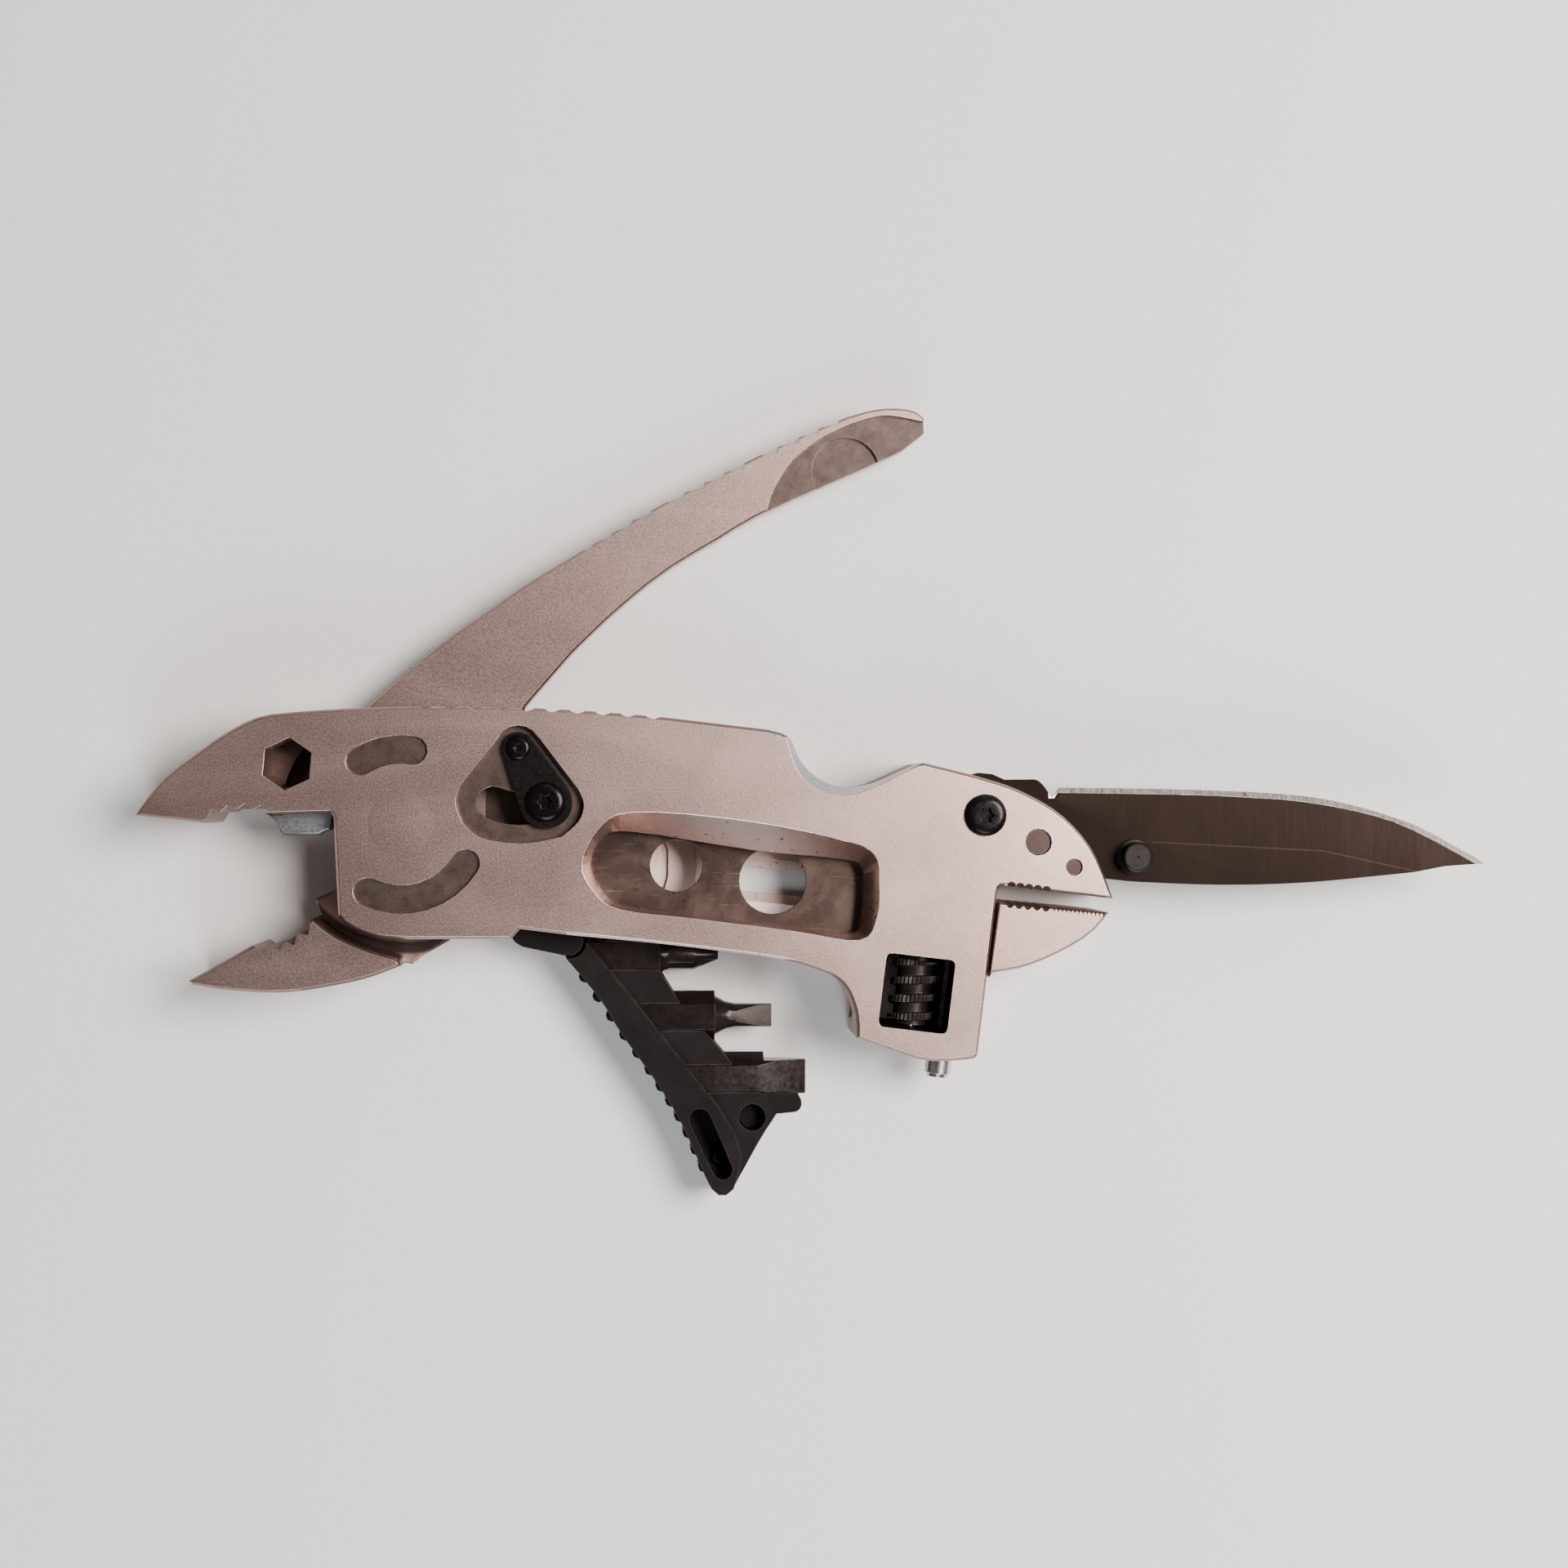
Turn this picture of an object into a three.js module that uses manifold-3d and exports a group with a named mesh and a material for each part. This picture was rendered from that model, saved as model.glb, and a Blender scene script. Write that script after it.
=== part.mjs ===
// Folding pocket multi tool: pliers at the left, adjustable wrench at the right, a folding
// knife and a folding bit holder, all carried between two cast steel halves.
// Millimetres, +Z up. The tool lies on its back half. The origin is the plier pivot on the
// back face, +X runs to the wrench end and +Y to the side that the handle folds out of.
import * as THREE from 'three';
import { mergeVertices } from 'three/addons/utils/BufferGeometryUtils.js';
import Module from 'manifold-3d';

const wasm = await Module();
wasm.setup();

// ---- Driving dimensions ----

const THICK = 16.4; // over both castings
const MID = THICK / 2; // parting plane
const HAIR = 0.02; // half of the parting gap
const EDGE = 0.4; // chamfer round the castings

const FLOOR = 3.6; // bay floor under the handle
const DEEP_FLOOR = 2.0; // bay floor under the bit holder
const HANDLE_Z = [3.9, 8.4]; // handle plate
const LINER_Z = [8.72, 9.78]; // liner plate and its lock bar
const BLADE_Z = [10.1, 12.5]; // knife blade
const CEILING = 12.8; // underside of the front wall
const HOLDER_Z = [2.1, 8.5]; // bit holder webs
const SPINE_TOP = 9.6; // bit holder spine

const CLOSE_ANGLE = 38.5; // handle travel, degrees
const POCKET_R = 18.4; // round bay about the plier pivot
const POST_R = 4.3; // plier pivot post

const KNIFE = [83.6, 1.2]; // knife pivot
const TANG_R = 6.15;
const STUD = [106.0, -4.9]; // thumb stud

const LATCH = [16.6, 10.8]; // lock lever pivot
const KNOB = [20.5, 3.1]; // lock knob
const LATCH_SWING = 52; // degrees

const HOLDER = [23.7, -17.2]; // bit holder hinge
const HOLDER_REACH = 44.0; // bay radius about that hinge

const BIT_AF = 6.35; // quarter inch hex, across flats
const BIT_Z = 5.375; // bit axis height
const BIT_Y = [-19.4, -28.4, -37.4]; // bit axes
const BIT_BUTT = [26.1, 32.9, 37.9]; // bit ends in the holder
const BIT_TIP = [45.4, 53.3, 58.3];

const TILT = 7; // wrench slide, degrees off +Y
const WORM = [74.1, -24.9]; // worm axis
const WORM_R = 3.65;
const WORM_CORE_R = 2.75;
const PITCH = 2.7; // worm and rack
const RACK_OFFSET = 4.9; // worm axis to rack axis
const RACK_R = 1.9;
const EDGE_OFFSET = 9.38; // worm axis to the castings' straight edge

const STEEL = { color: 0xa9a39d, roughness: 0.38, metalness: 0.9 };
const BRIGHT = { color: 0xc9c7c4, roughness: 0.22, metalness: 1.0 };
const LINER = { color: 0x8d8782, roughness: 0.42, metalness: 0.9 };
const BLACK_STEEL = { color: 0x1d1b1b, roughness: 0.3, metalness: 0.7 };
const COATED = { color: 0x2a2523, roughness: 0.45, metalness: 0.5 };
const PLASTIC = { color: 0x262322, roughness: 0.7, metalness: 0.0 };

// ---- Shapes and solids ----

const rad = THREE.MathUtils.degToRad;

// A closed outline: [x, y] is a straight run, { curve } a smooth one through its points,
// { arc: [x, y, r, from, to] } a round one in degrees, { round: [cx, cy, x, y] } a corner.
function outline(start, ...steps) {
  const shape = new THREE.Shape();
  shape.moveTo(...start);
  for (const step of steps) {
    if (step.curve) {
      shape.splineThru(step.curve.map(([x, y]) => new THREE.Vector2(x, y)));
    } else if (step.arc) {
      const [x, y, r, from, to] = step.arc;
      shape.absarc(x, y, r, rad(from), rad(to), to < from);
    } else if (step.round) {
      shape.quadraticCurveTo(...step.round);
    } else {
      shape.lineTo(...step);
    }
  }
  return shape;
}

// A band that follows an arc and has round ends.
function bean([x, y], radius, half, from, to) {
  const end = (angle) => [
    x + radius * Math.cos(rad(angle)),
    y + radius * Math.sin(rad(angle)),
  ];
  const shape = new THREE.Shape();
  shape.absarc(x, y, radius + half, rad(from), rad(to), false);
  shape.absarc(...end(to), half, rad(to), rad(to + 180), false);
  shape.absarc(x, y, radius - half, rad(to), rad(from), true);
  shape.absarc(...end(from), half, rad(from + 180), rad(from + 360), false);
  return shape;
}

// Two circles and the straight flanks between them.
function capsule([x0, y0], r0, [x1, y1], r1) {
  const along = Math.atan2(y1 - y0, x1 - x0);
  const lean = Math.acos((r0 - r1) / Math.hypot(x1 - x0, y1 - y0));
  const shape = new THREE.Shape();
  shape.absarc(x1, y1, r1, along - lean, along + lean, false);
  shape.absarc(x0, y0, r0, along + lean, along - lean + 2 * Math.PI, false);
  return shape;
}

function manifoldOf(positions, index) {
  const vertProperties = new Float32Array(positions);
  const triVerts = new Uint32Array(index);
  return new wasm.Manifold(new wasm.Mesh({ numProp: 3, vertProperties, triVerts }));
}

function solidOf(geometry) {
  geometry.deleteAttribute('normal');
  geometry.deleteAttribute('uv');
  const merged = mergeVertices(geometry, 1e-5);
  return manifoldOf(merged.attributes.position.array, merged.index.array);
}

function geometryOf(solid) {
  const mesh = solid.getMesh();
  const geometry = new THREE.BufferGeometry();
  geometry.setAttribute('position', new THREE.BufferAttribute(mesh.vertProperties, 3));
  geometry.setIndex(new THREE.BufferAttribute(mesh.triVerts, 1));
  return geometry;
}

// The outline's corners, without the doubled ones where two stretches meet.
function corners(shape, segments) {
  const points = shape.getPoints(segments);
  const apart = (p, q) => p.distanceTo(q) > 0.02;
  const kept = points.filter((p, i) => apart(p, points[(i + 1) % points.length]));
  return new THREE.Shape(kept);
}

function prism(shape, z0, z1, segments = 3) {
  const options = { depth: z1 - z0, bevelEnabled: false };
  const geometry = new THREE.ExtrudeGeometry(corners(shape, segments), options);
  return solidOf(geometry.translate(0, 0, z0));
}

function disc(centre, r, z0, z1, segments = 16) {
  const geometry = new THREE.CylinderGeometry(r, r, z1 - z0, segments);
  geometry.rotateX(Math.PI / 2).translate(...centre, (z0 + z1) / 2);
  return solidOf(geometry);
}

// A turned piece about a vertical axis, from [radius, z] points that start and end on it.
function turned(centre, profile, segments = 16) {
  const points = profile.map(([r, z]) => new THREE.Vector2(r, z));
  const geometry = new THREE.LatheGeometry(points, segments).rotateX(Math.PI / 2);
  return solidOf(geometry.translate(...centre, 0));
}

// A solid between level rings of the same number of points.
function loft(rings) {
  const count = rings[0].points.length;
  const positions = rings.flatMap((ring) => ring.points.flatMap(([x, y]) => [x, y, ring.z]));
  const index = [];
  for (let level = 0; level + 1 < rings.length; level++) {
    for (let i = 0; i < count; i++) {
      const a = level * count + i;
      const b = level * count + ((i + 1) % count);
      index.push(a, b, b + count, a, b + count, a + count);
    }
  }
  const flat = rings[1].points.map(([x, y]) => new THREE.Vector2(x, y));
  for (const [a, b, c] of THREE.ShapeUtils.triangulateShape(flat, [])) {
    const top = (rings.length - 1) * count;
    index.push(a, c, b, a + top, b + top, c + top);
  }
  return manifoldOf(positions, index);
}

// A prism whose two rims are chamfered inside its outline.
function chamfered(shape, z0, z1, bevel, segments = 2) {
  const points = corners(shape, segments).getPoints();
  if (THREE.ShapeUtils.isClockWise(points)) points.reverse();
  const inset = points.map((p, i) => {
    const before = p.clone().sub(points.at(i - 1)).normalize();
    const after = points[(i + 1) % points.length].clone().sub(p).normalize();
    const inward = new THREE.Vector2(-before.y - after.y, before.x + after.x).normalize();
    const mitre = Math.max(0.6, inward.dot(new THREE.Vector2(-before.y, before.x)));
    return p.clone().addScaledVector(inward, bevel / mitre);
  });
  const ring = (from, z) => ({ points: from.map((p) => [p.x, p.y]), z });
  return loft([
    ring(inset, z0),
    ring(points, z0 + bevel),
    ring(points, z1 - bevel),
    ring(inset, z1),
  ]);
}

// Even points along a smooth line through a few points.
function smooth(points, steps, closed = false) {
  const knots = points.map(([x, y]) => new THREE.Vector3(x, y, 0));
  const curve = new THREE.CatmullRomCurve3(knots, closed, 'catmullrom', 0.5);
  const found = curve.getPoints(steps).map((p) => [p.x, p.y]);
  return closed ? found.slice(0, -1) : found;
}

// The wrench's own directions: across is square to its slide, along is the closing way.
const across = [Math.cos(rad(TILT)), -Math.sin(rad(TILT))];
const along = [Math.sin(rad(TILT)), Math.cos(rad(TILT))];

function atWorm(n, s) {
  return [
    WORM[0] + n * across[0] + s * along[0],
    WORM[1] + n * across[1] + s * along[1],
  ];
}

// A rectangle in the wrench's directions.
function wrenchBox(n0, n1, s0, s1) {
  return outline(atWorm(n0, s0), atWorm(n1, s0), atWorm(n1, s1), atWorm(n0, s1));
}

// A round bar along the slide.
function slideBar(n, s0, s1, z, r, segments = 16) {
  const geometry = new THREE.CylinderGeometry(r, r, s1 - s0, segments);
  geometry.translate(0, (s0 + s1) / 2, 0).rotateZ(-rad(TILT));
  return solidOf(geometry.translate(...atWorm(n, 0), z));
}

// A six-pointed driver recess.
function starRecess(centre, r, z0, z1) {
  const shape = new THREE.Shape();
  const points = 12;
  for (let i = 0; i < points; i++) {
    const reach = i % 2 ? r * 0.68 : r;
    const x = centre[0] + reach * Math.cos((2 * Math.PI * i) / points);
    const y = centre[1] + reach * Math.sin((2 * Math.PI * i) / points);
    if (i) shape.lineTo(x, y);
    else shape.moveTo(x, y);
  }
  return prism(shape, z0, z1);
}

function buttonScrew(centre, headR, headBase, headHeight, shankR, tip) {
  const screw = turned(centre, [
    [0, tip],
    [shankR, tip],
    [shankR, headBase],
    [headR, headBase],
    [headR, headBase + 0.35 * headHeight],
    [headR * 0.86, headBase + 0.8 * headHeight],
    [headR * 0.62, headBase + headHeight],
    [0, headBase + headHeight],
  ], 24);
  const top = headBase + headHeight;
  return screw.subtract(starRecess(centre, headR * 0.42, top - 0.7 * headHeight, top + 1));
}

const parts = new THREE.Group();

function add(name, solid, finish) {
  const mesh = new THREE.Mesh(geometryOf(solid), new THREE.MeshStandardMaterial(finish));
  mesh.name = name;
  parts.add(mesh);
}

// ---- Castings ----

const caseOutline = outline(
  [-37.3, 1.2],
  [-36.5, 2.6],
  { curve: [[-33.3, 6.5], [-29.2, 9.7], [-25.3, 12.5], [-21.1, 14.8], [-18.1, 15.6]] },
  { curve: [[-9.2, 16.3], [2.9, 16.7], [16.6, 16.6], [34.4, 15.5], [52.2, 13.5]] },
  [54.2, 13.0],
  { round: [55.5, 12.6, 56.0, 11.6] },
  { curve: [[57.3, 8.9], [59.1, 6.9], [61.7, 5.6], [64.8, 5.3], [68.0, 6.0], [73.4, 8.5]] },
  { round: [74.1, 8.8, 75.0, 8.7] },
  { curve: [[82.8, 6.7], [88.7, 4.7], [94.7, 1.2], [99.3, -4.0], [102.2, -10.9]] },
  [86.4, -8.95],
  { round: [85.5, -8.9, 85.38, -9.9] },
  [82.5, -33.3],
  { round: [82.4, -33.9, 81.6, -33.95] },
  { curve: [[78.1, -34.2], [74.5, -34.0], [71.0, -32.9], [65.0, -30.8]] },
  { curve: [[64.95, -28.3], [64.5, -26.0], [63.4, -23.6], [61.6, -21.9], [59.2, -20.9]] },
  { curve: [[54.8, -19.6], [45.1, -18.2], [34.3, -16.9], [24.1, -15.9], [16.9, -15.0]] },
  [15.6, -16.45],
  [1.1, -16.4],
  { curve: [[-2.9, -16.1], [-5.8, -15.2], [-8.0, -14.0], [-8.8, -13.0]] },
  [-9.5, 0.9],
  { round: [-9.55, 1.55, -10.2, 1.55] },
  [-19.0, 1.3],
  [-27.6, 0.15],
);

// What is cut out of the fixed plier jaw, and out of the moving one.
const fixedJawTeeth = outline(
  [-28.0, -0.6],
  [-26.5, 2.1],
  [-25.4, 1.6],
  [-24.3, 2.6],
  [-23.0, 2.05],
  [-22.0, 2.85],
  [-20.8, 2.05],
  [-19.6, 2.6],
  [-17.6, 1.2],
  [-17.6, -0.6],
);
const movingJawTeeth = outline(
  [-21.2, -16.9],
  [-19.3, -18.4],
  [-18.4, -17.3],
  [-17.0, -18.0],
  [-16.3, -16.6],
  [-15.0, -17.2],
  [-14.5, -15.5],
  [-13.0, -15.7],
  [-12.6, -13.0],
  [-21.2, -13.0],
);

// Grip scallops along the top edge.
function gripScallops() {
  const count = 10;
  const depth = 0.45;
  const r = 1.5;
  const cuts = [];
  for (let i = 0; i < count; i++) {
    const x = 3.4 + 3.61 * i;
    const top = 16.73 - 0.00132 * (x - 4) ** 2;
    cuts.push(disc([x, top + r - depth], r, -1, THICK + 1, 10));
  }
  return cuts;
}

// Coarse teeth under the fixed wrench jaw.
function wrenchTeeth() {
  const count = 5;
  return Array.from({ length: count }, (_, i) =>
    disc([87.4 + 1.27 * i, -8.95 - 0.157 * i], 0.55, -1, THICK + 1, 10),
  );
}

// The finger notch flares towards both faces.
function notchFlare(faceZ, innerZ) {
  const steps = 18;
  const closing = [[76.5, 22], [53.5, 22]];
  const rim = smooth(
    [
      [54.8, 12.9], [55.6, 9.9], [56.5, 7.7], [58.4, 5.5],
      [61.5, 4.3], [64.4, 4.2], [68.0, 5.4], [74.6, 8.8],
    ],
    steps,
  );
  const inner = smooth(
    [
      [55.6, 12.9], [56.7, 9.9], [57.9, 8.1], [59.7, 6.5],
      [62.0, 5.5], [64.8, 5.3], [68.0, 6.0], [74.4, 8.9],
    ],
    steps,
  );
  const rings = [
    { points: [...inner, ...closing], z: innerZ },
    { points: [...rim, ...closing], z: faceZ },
  ];
  return loft(innerZ < faceZ ? rings : rings.reverse());
}

const caseBlank = [
  prism(fixedJawTeeth, -1, THICK + 1),
  ...gripScallops(),
  ...wrenchTeeth(),
  notchFlare(THICK + 0.01, CEILING),
  notchFlare(-0.01, THICK - CEILING),
].reduce((solid, cut) => solid.subtract(cut), chamfered(caseOutline, 0, THICK, EDGE, 3));

// The bay that the handle folds into, open along the top edge.
const handleBay = outline(
  [0, 0],
  [15.5, -4.0],
  [24.3, 2.0],
  { curve: [[34.7, 3.8], [45.8, 4.8], [53.0, 4.4], [69.5, 2.5], [86.5, -2.0], [91.5, -3.4]] },
  [97.6, -3.6],
  [97.6, 24],
  [-14, 24],
);

// The slot that the blade folds into, open along the top and the nose.
const bladeBay = outline(
  [9.9, 8.4],
  { curve: [[10.6, 6.9], [19.7, 1.9], [29.7, -1.1], [40.0, -2.5], [52.0, -3.2], [70.0, -3.5]] },
  [74.5, -4.8],
  [78.5, -6.4],
  [86.0, -6.6],
  [95.0, -8.0],
  [104.0, -9.2],
  [104.0, 24],
  [9.9, 24],
);

// The bay that the bit holder swings into, open along the bottom edge.
const holderBay = outline(
  [22.0, -22],
  [22.0, -19.6],
  { arc: [...HOLDER, 2.9, 210, 110] },
  [24.6, -9.0],
  [31.0, -4.2],
  [40.5, -1.4],
  [52.5, -1.8],
  [62.0, -4.2],
  { arc: [...HOLDER, HOLDER_REACH, 17, -14] },
  [62.0, -32],
  [40.0, -32],
);

// Where the thicker spine of the bit holder lies when it is folded in.
const spineBay = outline(
  [21.5, -22],
  [21.5, -18.5],
  { arc: [...HOLDER, 3.0, 210, 60] },
  [38.5, -16.1],
  [49.0, -17.1],
  [57.0, -17.9],
  [66.8, -22.0],
  [66.8, -27.6],
  [58.0, -30],
);

const holderBase = outline(
  [14.9, -11.8],
  [15.1, -15.2],
  { curve: [[15.6, -17.0], [16.9, -17.95]] },
  [23.0, -19.25],
  { arc: [...HOLDER, 2.1, 250, 470] },
  [21.6, -14.9],
  [21.4, -11.8],
);

const holderBasePocket = outline(
  [14.8, -11.7],
  [14.95, -15.2],
  [15.0, -20],
  [26.2, -20],
  [26.0, -15.3],
  [24.0, -14.5],
  [21.8, -14.6],
  [21.5, -11.7],
);

// The window that shows the liner: a flared rim over straight walls.
function linerWindow() {
  const rim = [
    [25.7, -5.9], [28.0, -0.9], [33.1, 1.7], [49.5, 0.4], [63.4, -2.5], [67.6, -4.6], [68.2, -8.5],
    [67.9, -13.4], [65.4, -16.7], [56.0, -15.4], [42.0, -13.6], [31.0, -12.2], [27.4, -9.6],
  ];
  const inner = [
    [26.8, -5.9], [28.6, -2.0], [33.1, -1.2], [49.7, -3.8], [63.4, -5.2], [65.9, -6.2], [66.3, -8.6],
    [66.0, -13.4], [64.6, -16.0], [56.0, -15.1], [42.0, -13.4], [31.6, -12.0], [28.3, -9.4],
  ];
  const steps = 52;
  const straight = smooth(inner, steps, true);
  return loft([
    { points: straight, z: LINER_Z[0] },
    { points: straight, z: CEILING + 0.1 },
    { points: smooth(rim, steps, true), z: THICK + 0.01 },
  ].map((ring) => ({ z: ring.z, points: [...ring.points].reverse() })));
}

const latchRecess = outline(
  [13.9, 12.3],
  [8.4, 5.3],
  { curve: [[7.75, 2.9], [8.8, 0.1]] },
  { curve: [[11.5, -2.0], [17.3, -2.75], [22.8, -1.8]] },
  { curve: [[25.2, 0.4], [25.9, 2.8], [25.1, 4.9]] },
  [19.5, 12.3],
  { arc: [...LATCH, 3.2, 28, 152] },
);
const LATCH_FLOOR = 14.8;
const latchR = Math.hypot(KNOB[0] - LATCH[0], KNOB[1] - LATCH[1]);
const latchFrom = THREE.MathUtils.radToDeg(Math.atan2(KNOB[1] - LATCH[1], KNOB[0] - LATCH[0]));

const liner = outline(
  [24.9, -14.6],
  [38.5, -15.7],
  [60.5, -17.5],
  [66.6, -16.9],
  [69.0, -9.6],
  [73.2, -9.2],
  [75.0, -5.6],
  [90.0, -5.0],
  { curve: [[93.4, -2.6], [93.4, -0.2], [88.3, 3.9], [82.7, 5.7], [76.0, 7.4]] },
  { curve: [[71.0, 6.6], [68.0, 5.2], [64.8, 4.5], [61.6, 4.7], [58.9, 6.0], [56.9, 8.0], [55.4, 11.0]] },
  { curve: [[52.0, 12.6], [41.7, 13.8], [32.0, 14.6], [21.0, 15.2]] },
  [20.2, 12.0],
  { curve: [[20.8, 0], [22.6, -9.0], [24.9, -14.6]] },
);
const LINER_HOLES = [
  { centre: [39.2, -6.2], r: 3.8 },
  { centre: [53.3, -8.4], r: 4.9 },
];
const lockBar = outline([34.0, 0.2], [60.0, -0.2], [77.1, -0.6], [77.1, 3.1], [60.0, 3.4], [34.0, 4.0]);
const LINER_PINS = [[27.0, -12.9], [71.0, -7.4]];

const NOSE_PLUGS = [
  { name: 'nose_plug_large', centre: [91.3, -2.7], r: 1.85 },
  { name: 'nose_plug_small', centre: [96.5, -6.3], r: 1.15 },
];
const CASE_SCREWS = [[-27.0, 7.4], [73.3, -12.6], [90.0, -6.2]];

const wormWindow = outline(
  atWorm(-4.6, -4.9),
  atWorm(3.6, -4.9),
  { round: [...atWorm(4.5, -4.9), ...atWorm(4.5, -4.0)] },
  atWorm(4.5, 4.85),
  { round: [...atWorm(4.5, 5.75), ...atWorm(3.6, 5.75)] },
  atWorm(-4.55, 5.75),
  { round: [...atWorm(-5.45, 5.75), ...atWorm(-5.45, 4.85)] },
  atWorm(-5.45, -4.0),
  { round: [...atWorm(-5.45, -4.9), ...atWorm(-4.6, -4.9)] },
);

// Room for the worm, its axle, the rack rod and the neck of the moving wrench jaw.
function wrenchRoom() {
  return [
    prism(wormWindow, -1, THICK + 1),
    slideBar(0, -8.6, 9.2, MID, 1.2, 12),
    slideBar(RACK_OFFSET, -14, 15.4, MID, RACK_R + 0.2, 20),
    prism(wrenchBox(RACK_OFFSET, EDGE_OFFSET + 3, -14, 15.4), 6.55, 9.85),
  ];
}

// Driver socket through the front half.
function hexSocket() {
  const flats = 6.5;
  const geometry = new THREE.CylinderGeometry(flats / Math.sqrt(3), flats / Math.sqrt(3), 12, 6);
  geometry.rotateX(Math.PI / 2).rotateZ(rad(-5)).translate(-16.0, 8.5, THICK - 5);
  return solidOf(geometry);
}

function ringSector(r0, r1, from, to, z0, z1) {
  const shape = new THREE.Shape();
  shape.absarc(0, 0, r1, rad(from), rad(to), false);
  shape.absarc(0, 0, r0, rad(to), rad(from), true);
  return prism(shape, z0, z1, 4);
}

const BOSS = { r0: 9.5, r1: 12.8, from: 27.5, to: 38 }; // lock boss on the lever

// Room in the front wall for the boss over the whole swing of the lever.
function bossTrack() {
  const [from, to] = [BOSS.from - CLOSE_ANGLE - 2.5, BOSS.to + 2.5];
  return ringSector(BOSS.r0 - 0.35, BOSS.r1 + 0.3, from, to, CEILING - 1, 13.9);
}

function frontHalf() {
  const badgeFloor = THICK - 0.55;
  const cuts = [
    disc([0, 0], POCKET_R, MID - 1, CEILING, 48),
    prism(handleBay, MID - 1, 8.62),
    prism(bladeBay, LINER_Z[1], CEILING),
    prism(holderBay, MID - 1, 8.66),
    prism(spineBay, MID - 1, SPINE_TOP + 0.2),
    prism(holderBasePocket, MID - 1, 9.85),
    prism(liner, MID - 1, LINER_Z[1] + 0.06),
    linerWindow(),
    prism(latchRecess, LATCH_FLOOR, THICK + 1),
    prism(bean(LATCH, latchR, 2.35, latchFrom - LATCH_SWING, latchFrom), 13, THICK),
    prism(bean(LATCH, latchR, 3.2, latchFrom - LATCH_SWING, latchFrom), CEILING - 1, 13.85),
    bossTrack(),
    disc(LATCH, 1.1, 12.7, THICK),
    prism(bean([0, 0], 10.6, 2.0, 80.5, 123), badgeFloor, THICK + 1),
    prism(bean([0, 0], 10.75, 2.0, 244, 328.5), badgeFloor, THICK + 1, 4),
    hexSocket(),
    disc([0, 0], POST_R + 0.03, MID - 1, THICK + 1, 32),
    disc(KNIFE, 3.2, MID - 1, 8.7),
    disc(KNIFE, 2.4, MID, 14.6),
    disc(KNIFE, 1.5, MID, THICK + 1),
    ...NOSE_PLUGS.map((plug) => disc(plug.centre, plug.r + 0.05, 13.2, THICK + 1)),
    ...LINER_PINS.map((centre) => disc(centre, 1.05, MID - 1, 12.2, 10)),
    ...CASE_SCREWS.slice(0, 2).map((centre) => disc(centre, 1.25, MID - 1, 13.0, 10)),
    disc(CASE_SCREWS[2], 1.25, MID - 1, 9.7, 10),
    ...wrenchRoom(),
  ];
  const half = caseBlank.trimByPlane([0, 0, 1], MID + HAIR);
  return cuts.reduce((solid, cut) => solid.subtract(cut), half);
}

// The long slot in the back wall has sloping lands along both sides.
function backSlot() {
  const slot = (grow) => {
    const [x0, x1, half] = [45.5, 63.5, 1.85 + grow];
    const tilt = -0.1;
    const y = (x) => -8.9 + tilt * (x - 54.5);
    return [[x0, y(x0) - half], [x1, y(x1) - half], [x1, y(x1) + half], [x0, y(x0) + half]];
  };
  return loft([
    { points: slot(0), z: -1 },
    { points: slot(0), z: 0.7 },
    { points: slot(1.5), z: DEEP_FLOOR + 0.1 },
  ]);
}

function backHalf() {
  const padGaps = [
    outline([37.5, -10.0], [38.1, -8.0], [38.1, -4.0], [37.5, -2.6], [36.9, -2.6], [36.9, -10.0]),
    outline([42.2, -10.0], [43.8, -10.0], [43.8, -2.6], [42.2, -2.6]),
  ];
  const cuts = [
    disc([0, 0], POCKET_R, FLOOR, MID + 1, 48),
    prism(handleBay, FLOOR, MID + 1),
    prism(holderBay, DEEP_FLOOR, MID + 1),
    prism(spineBay, DEEP_FLOOR, MID + 1),
    prism(holderBasePocket, DEEP_FLOOR, MID + 1),
    backSlot(),
    ...padGaps.map((shape) => prism(shape, 1.2, DEEP_FLOOR + 0.1)),
    disc([0, 0], POST_R - 1.2, 1.2, FLOOR + 0.1),
    disc(KNIFE, 3.2, 7.3, MID + 1),
    ...CASE_SCREWS.map((centre) => disc(centre, 1.25, -1, MID + 1, 10)),
    ...CASE_SCREWS.map((centre) => disc(centre, 2.3, -1, 1.6)),
    ...wrenchRoom(),
  ];
  const half = caseBlank.trimByPlane([0, 0, -1], -(MID - HAIR));
  return cuts.reduce((solid, cut) => solid.subtract(cut), half);
}

add('front_half', frontHalf(), STEEL);
add('back_half', backHalf(), STEEL);

NOSE_PLUGS.forEach(({ name, centre, r }) => add(name, disc(centre, r, 13.3, 15.95), STEEL));

CASE_SCREWS.forEach((centre, i) => {
  const tip = i === 2 ? 9.6 : 12.9;
  const screw = disc(centre, 1.15, 0.4, tip, 16).add(disc(centre, 2.2, 0.2, 1.5));
  add(`case_screw_${i + 1}`, screw.subtract(starRecess(centre, 1.2, -1, 1.0)), BLACK_STEEL);
});

// ---- Pliers ----

const pivotPost = disc([0, 0], POST_R, FLOOR + 0.05, THICK - 0.02, 32)
  .add(disc([0, 0], POST_R - 1.3, 1.3, FLOOR + 1));
add('plier_pivot_post', pivotPost, STEEL);

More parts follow.
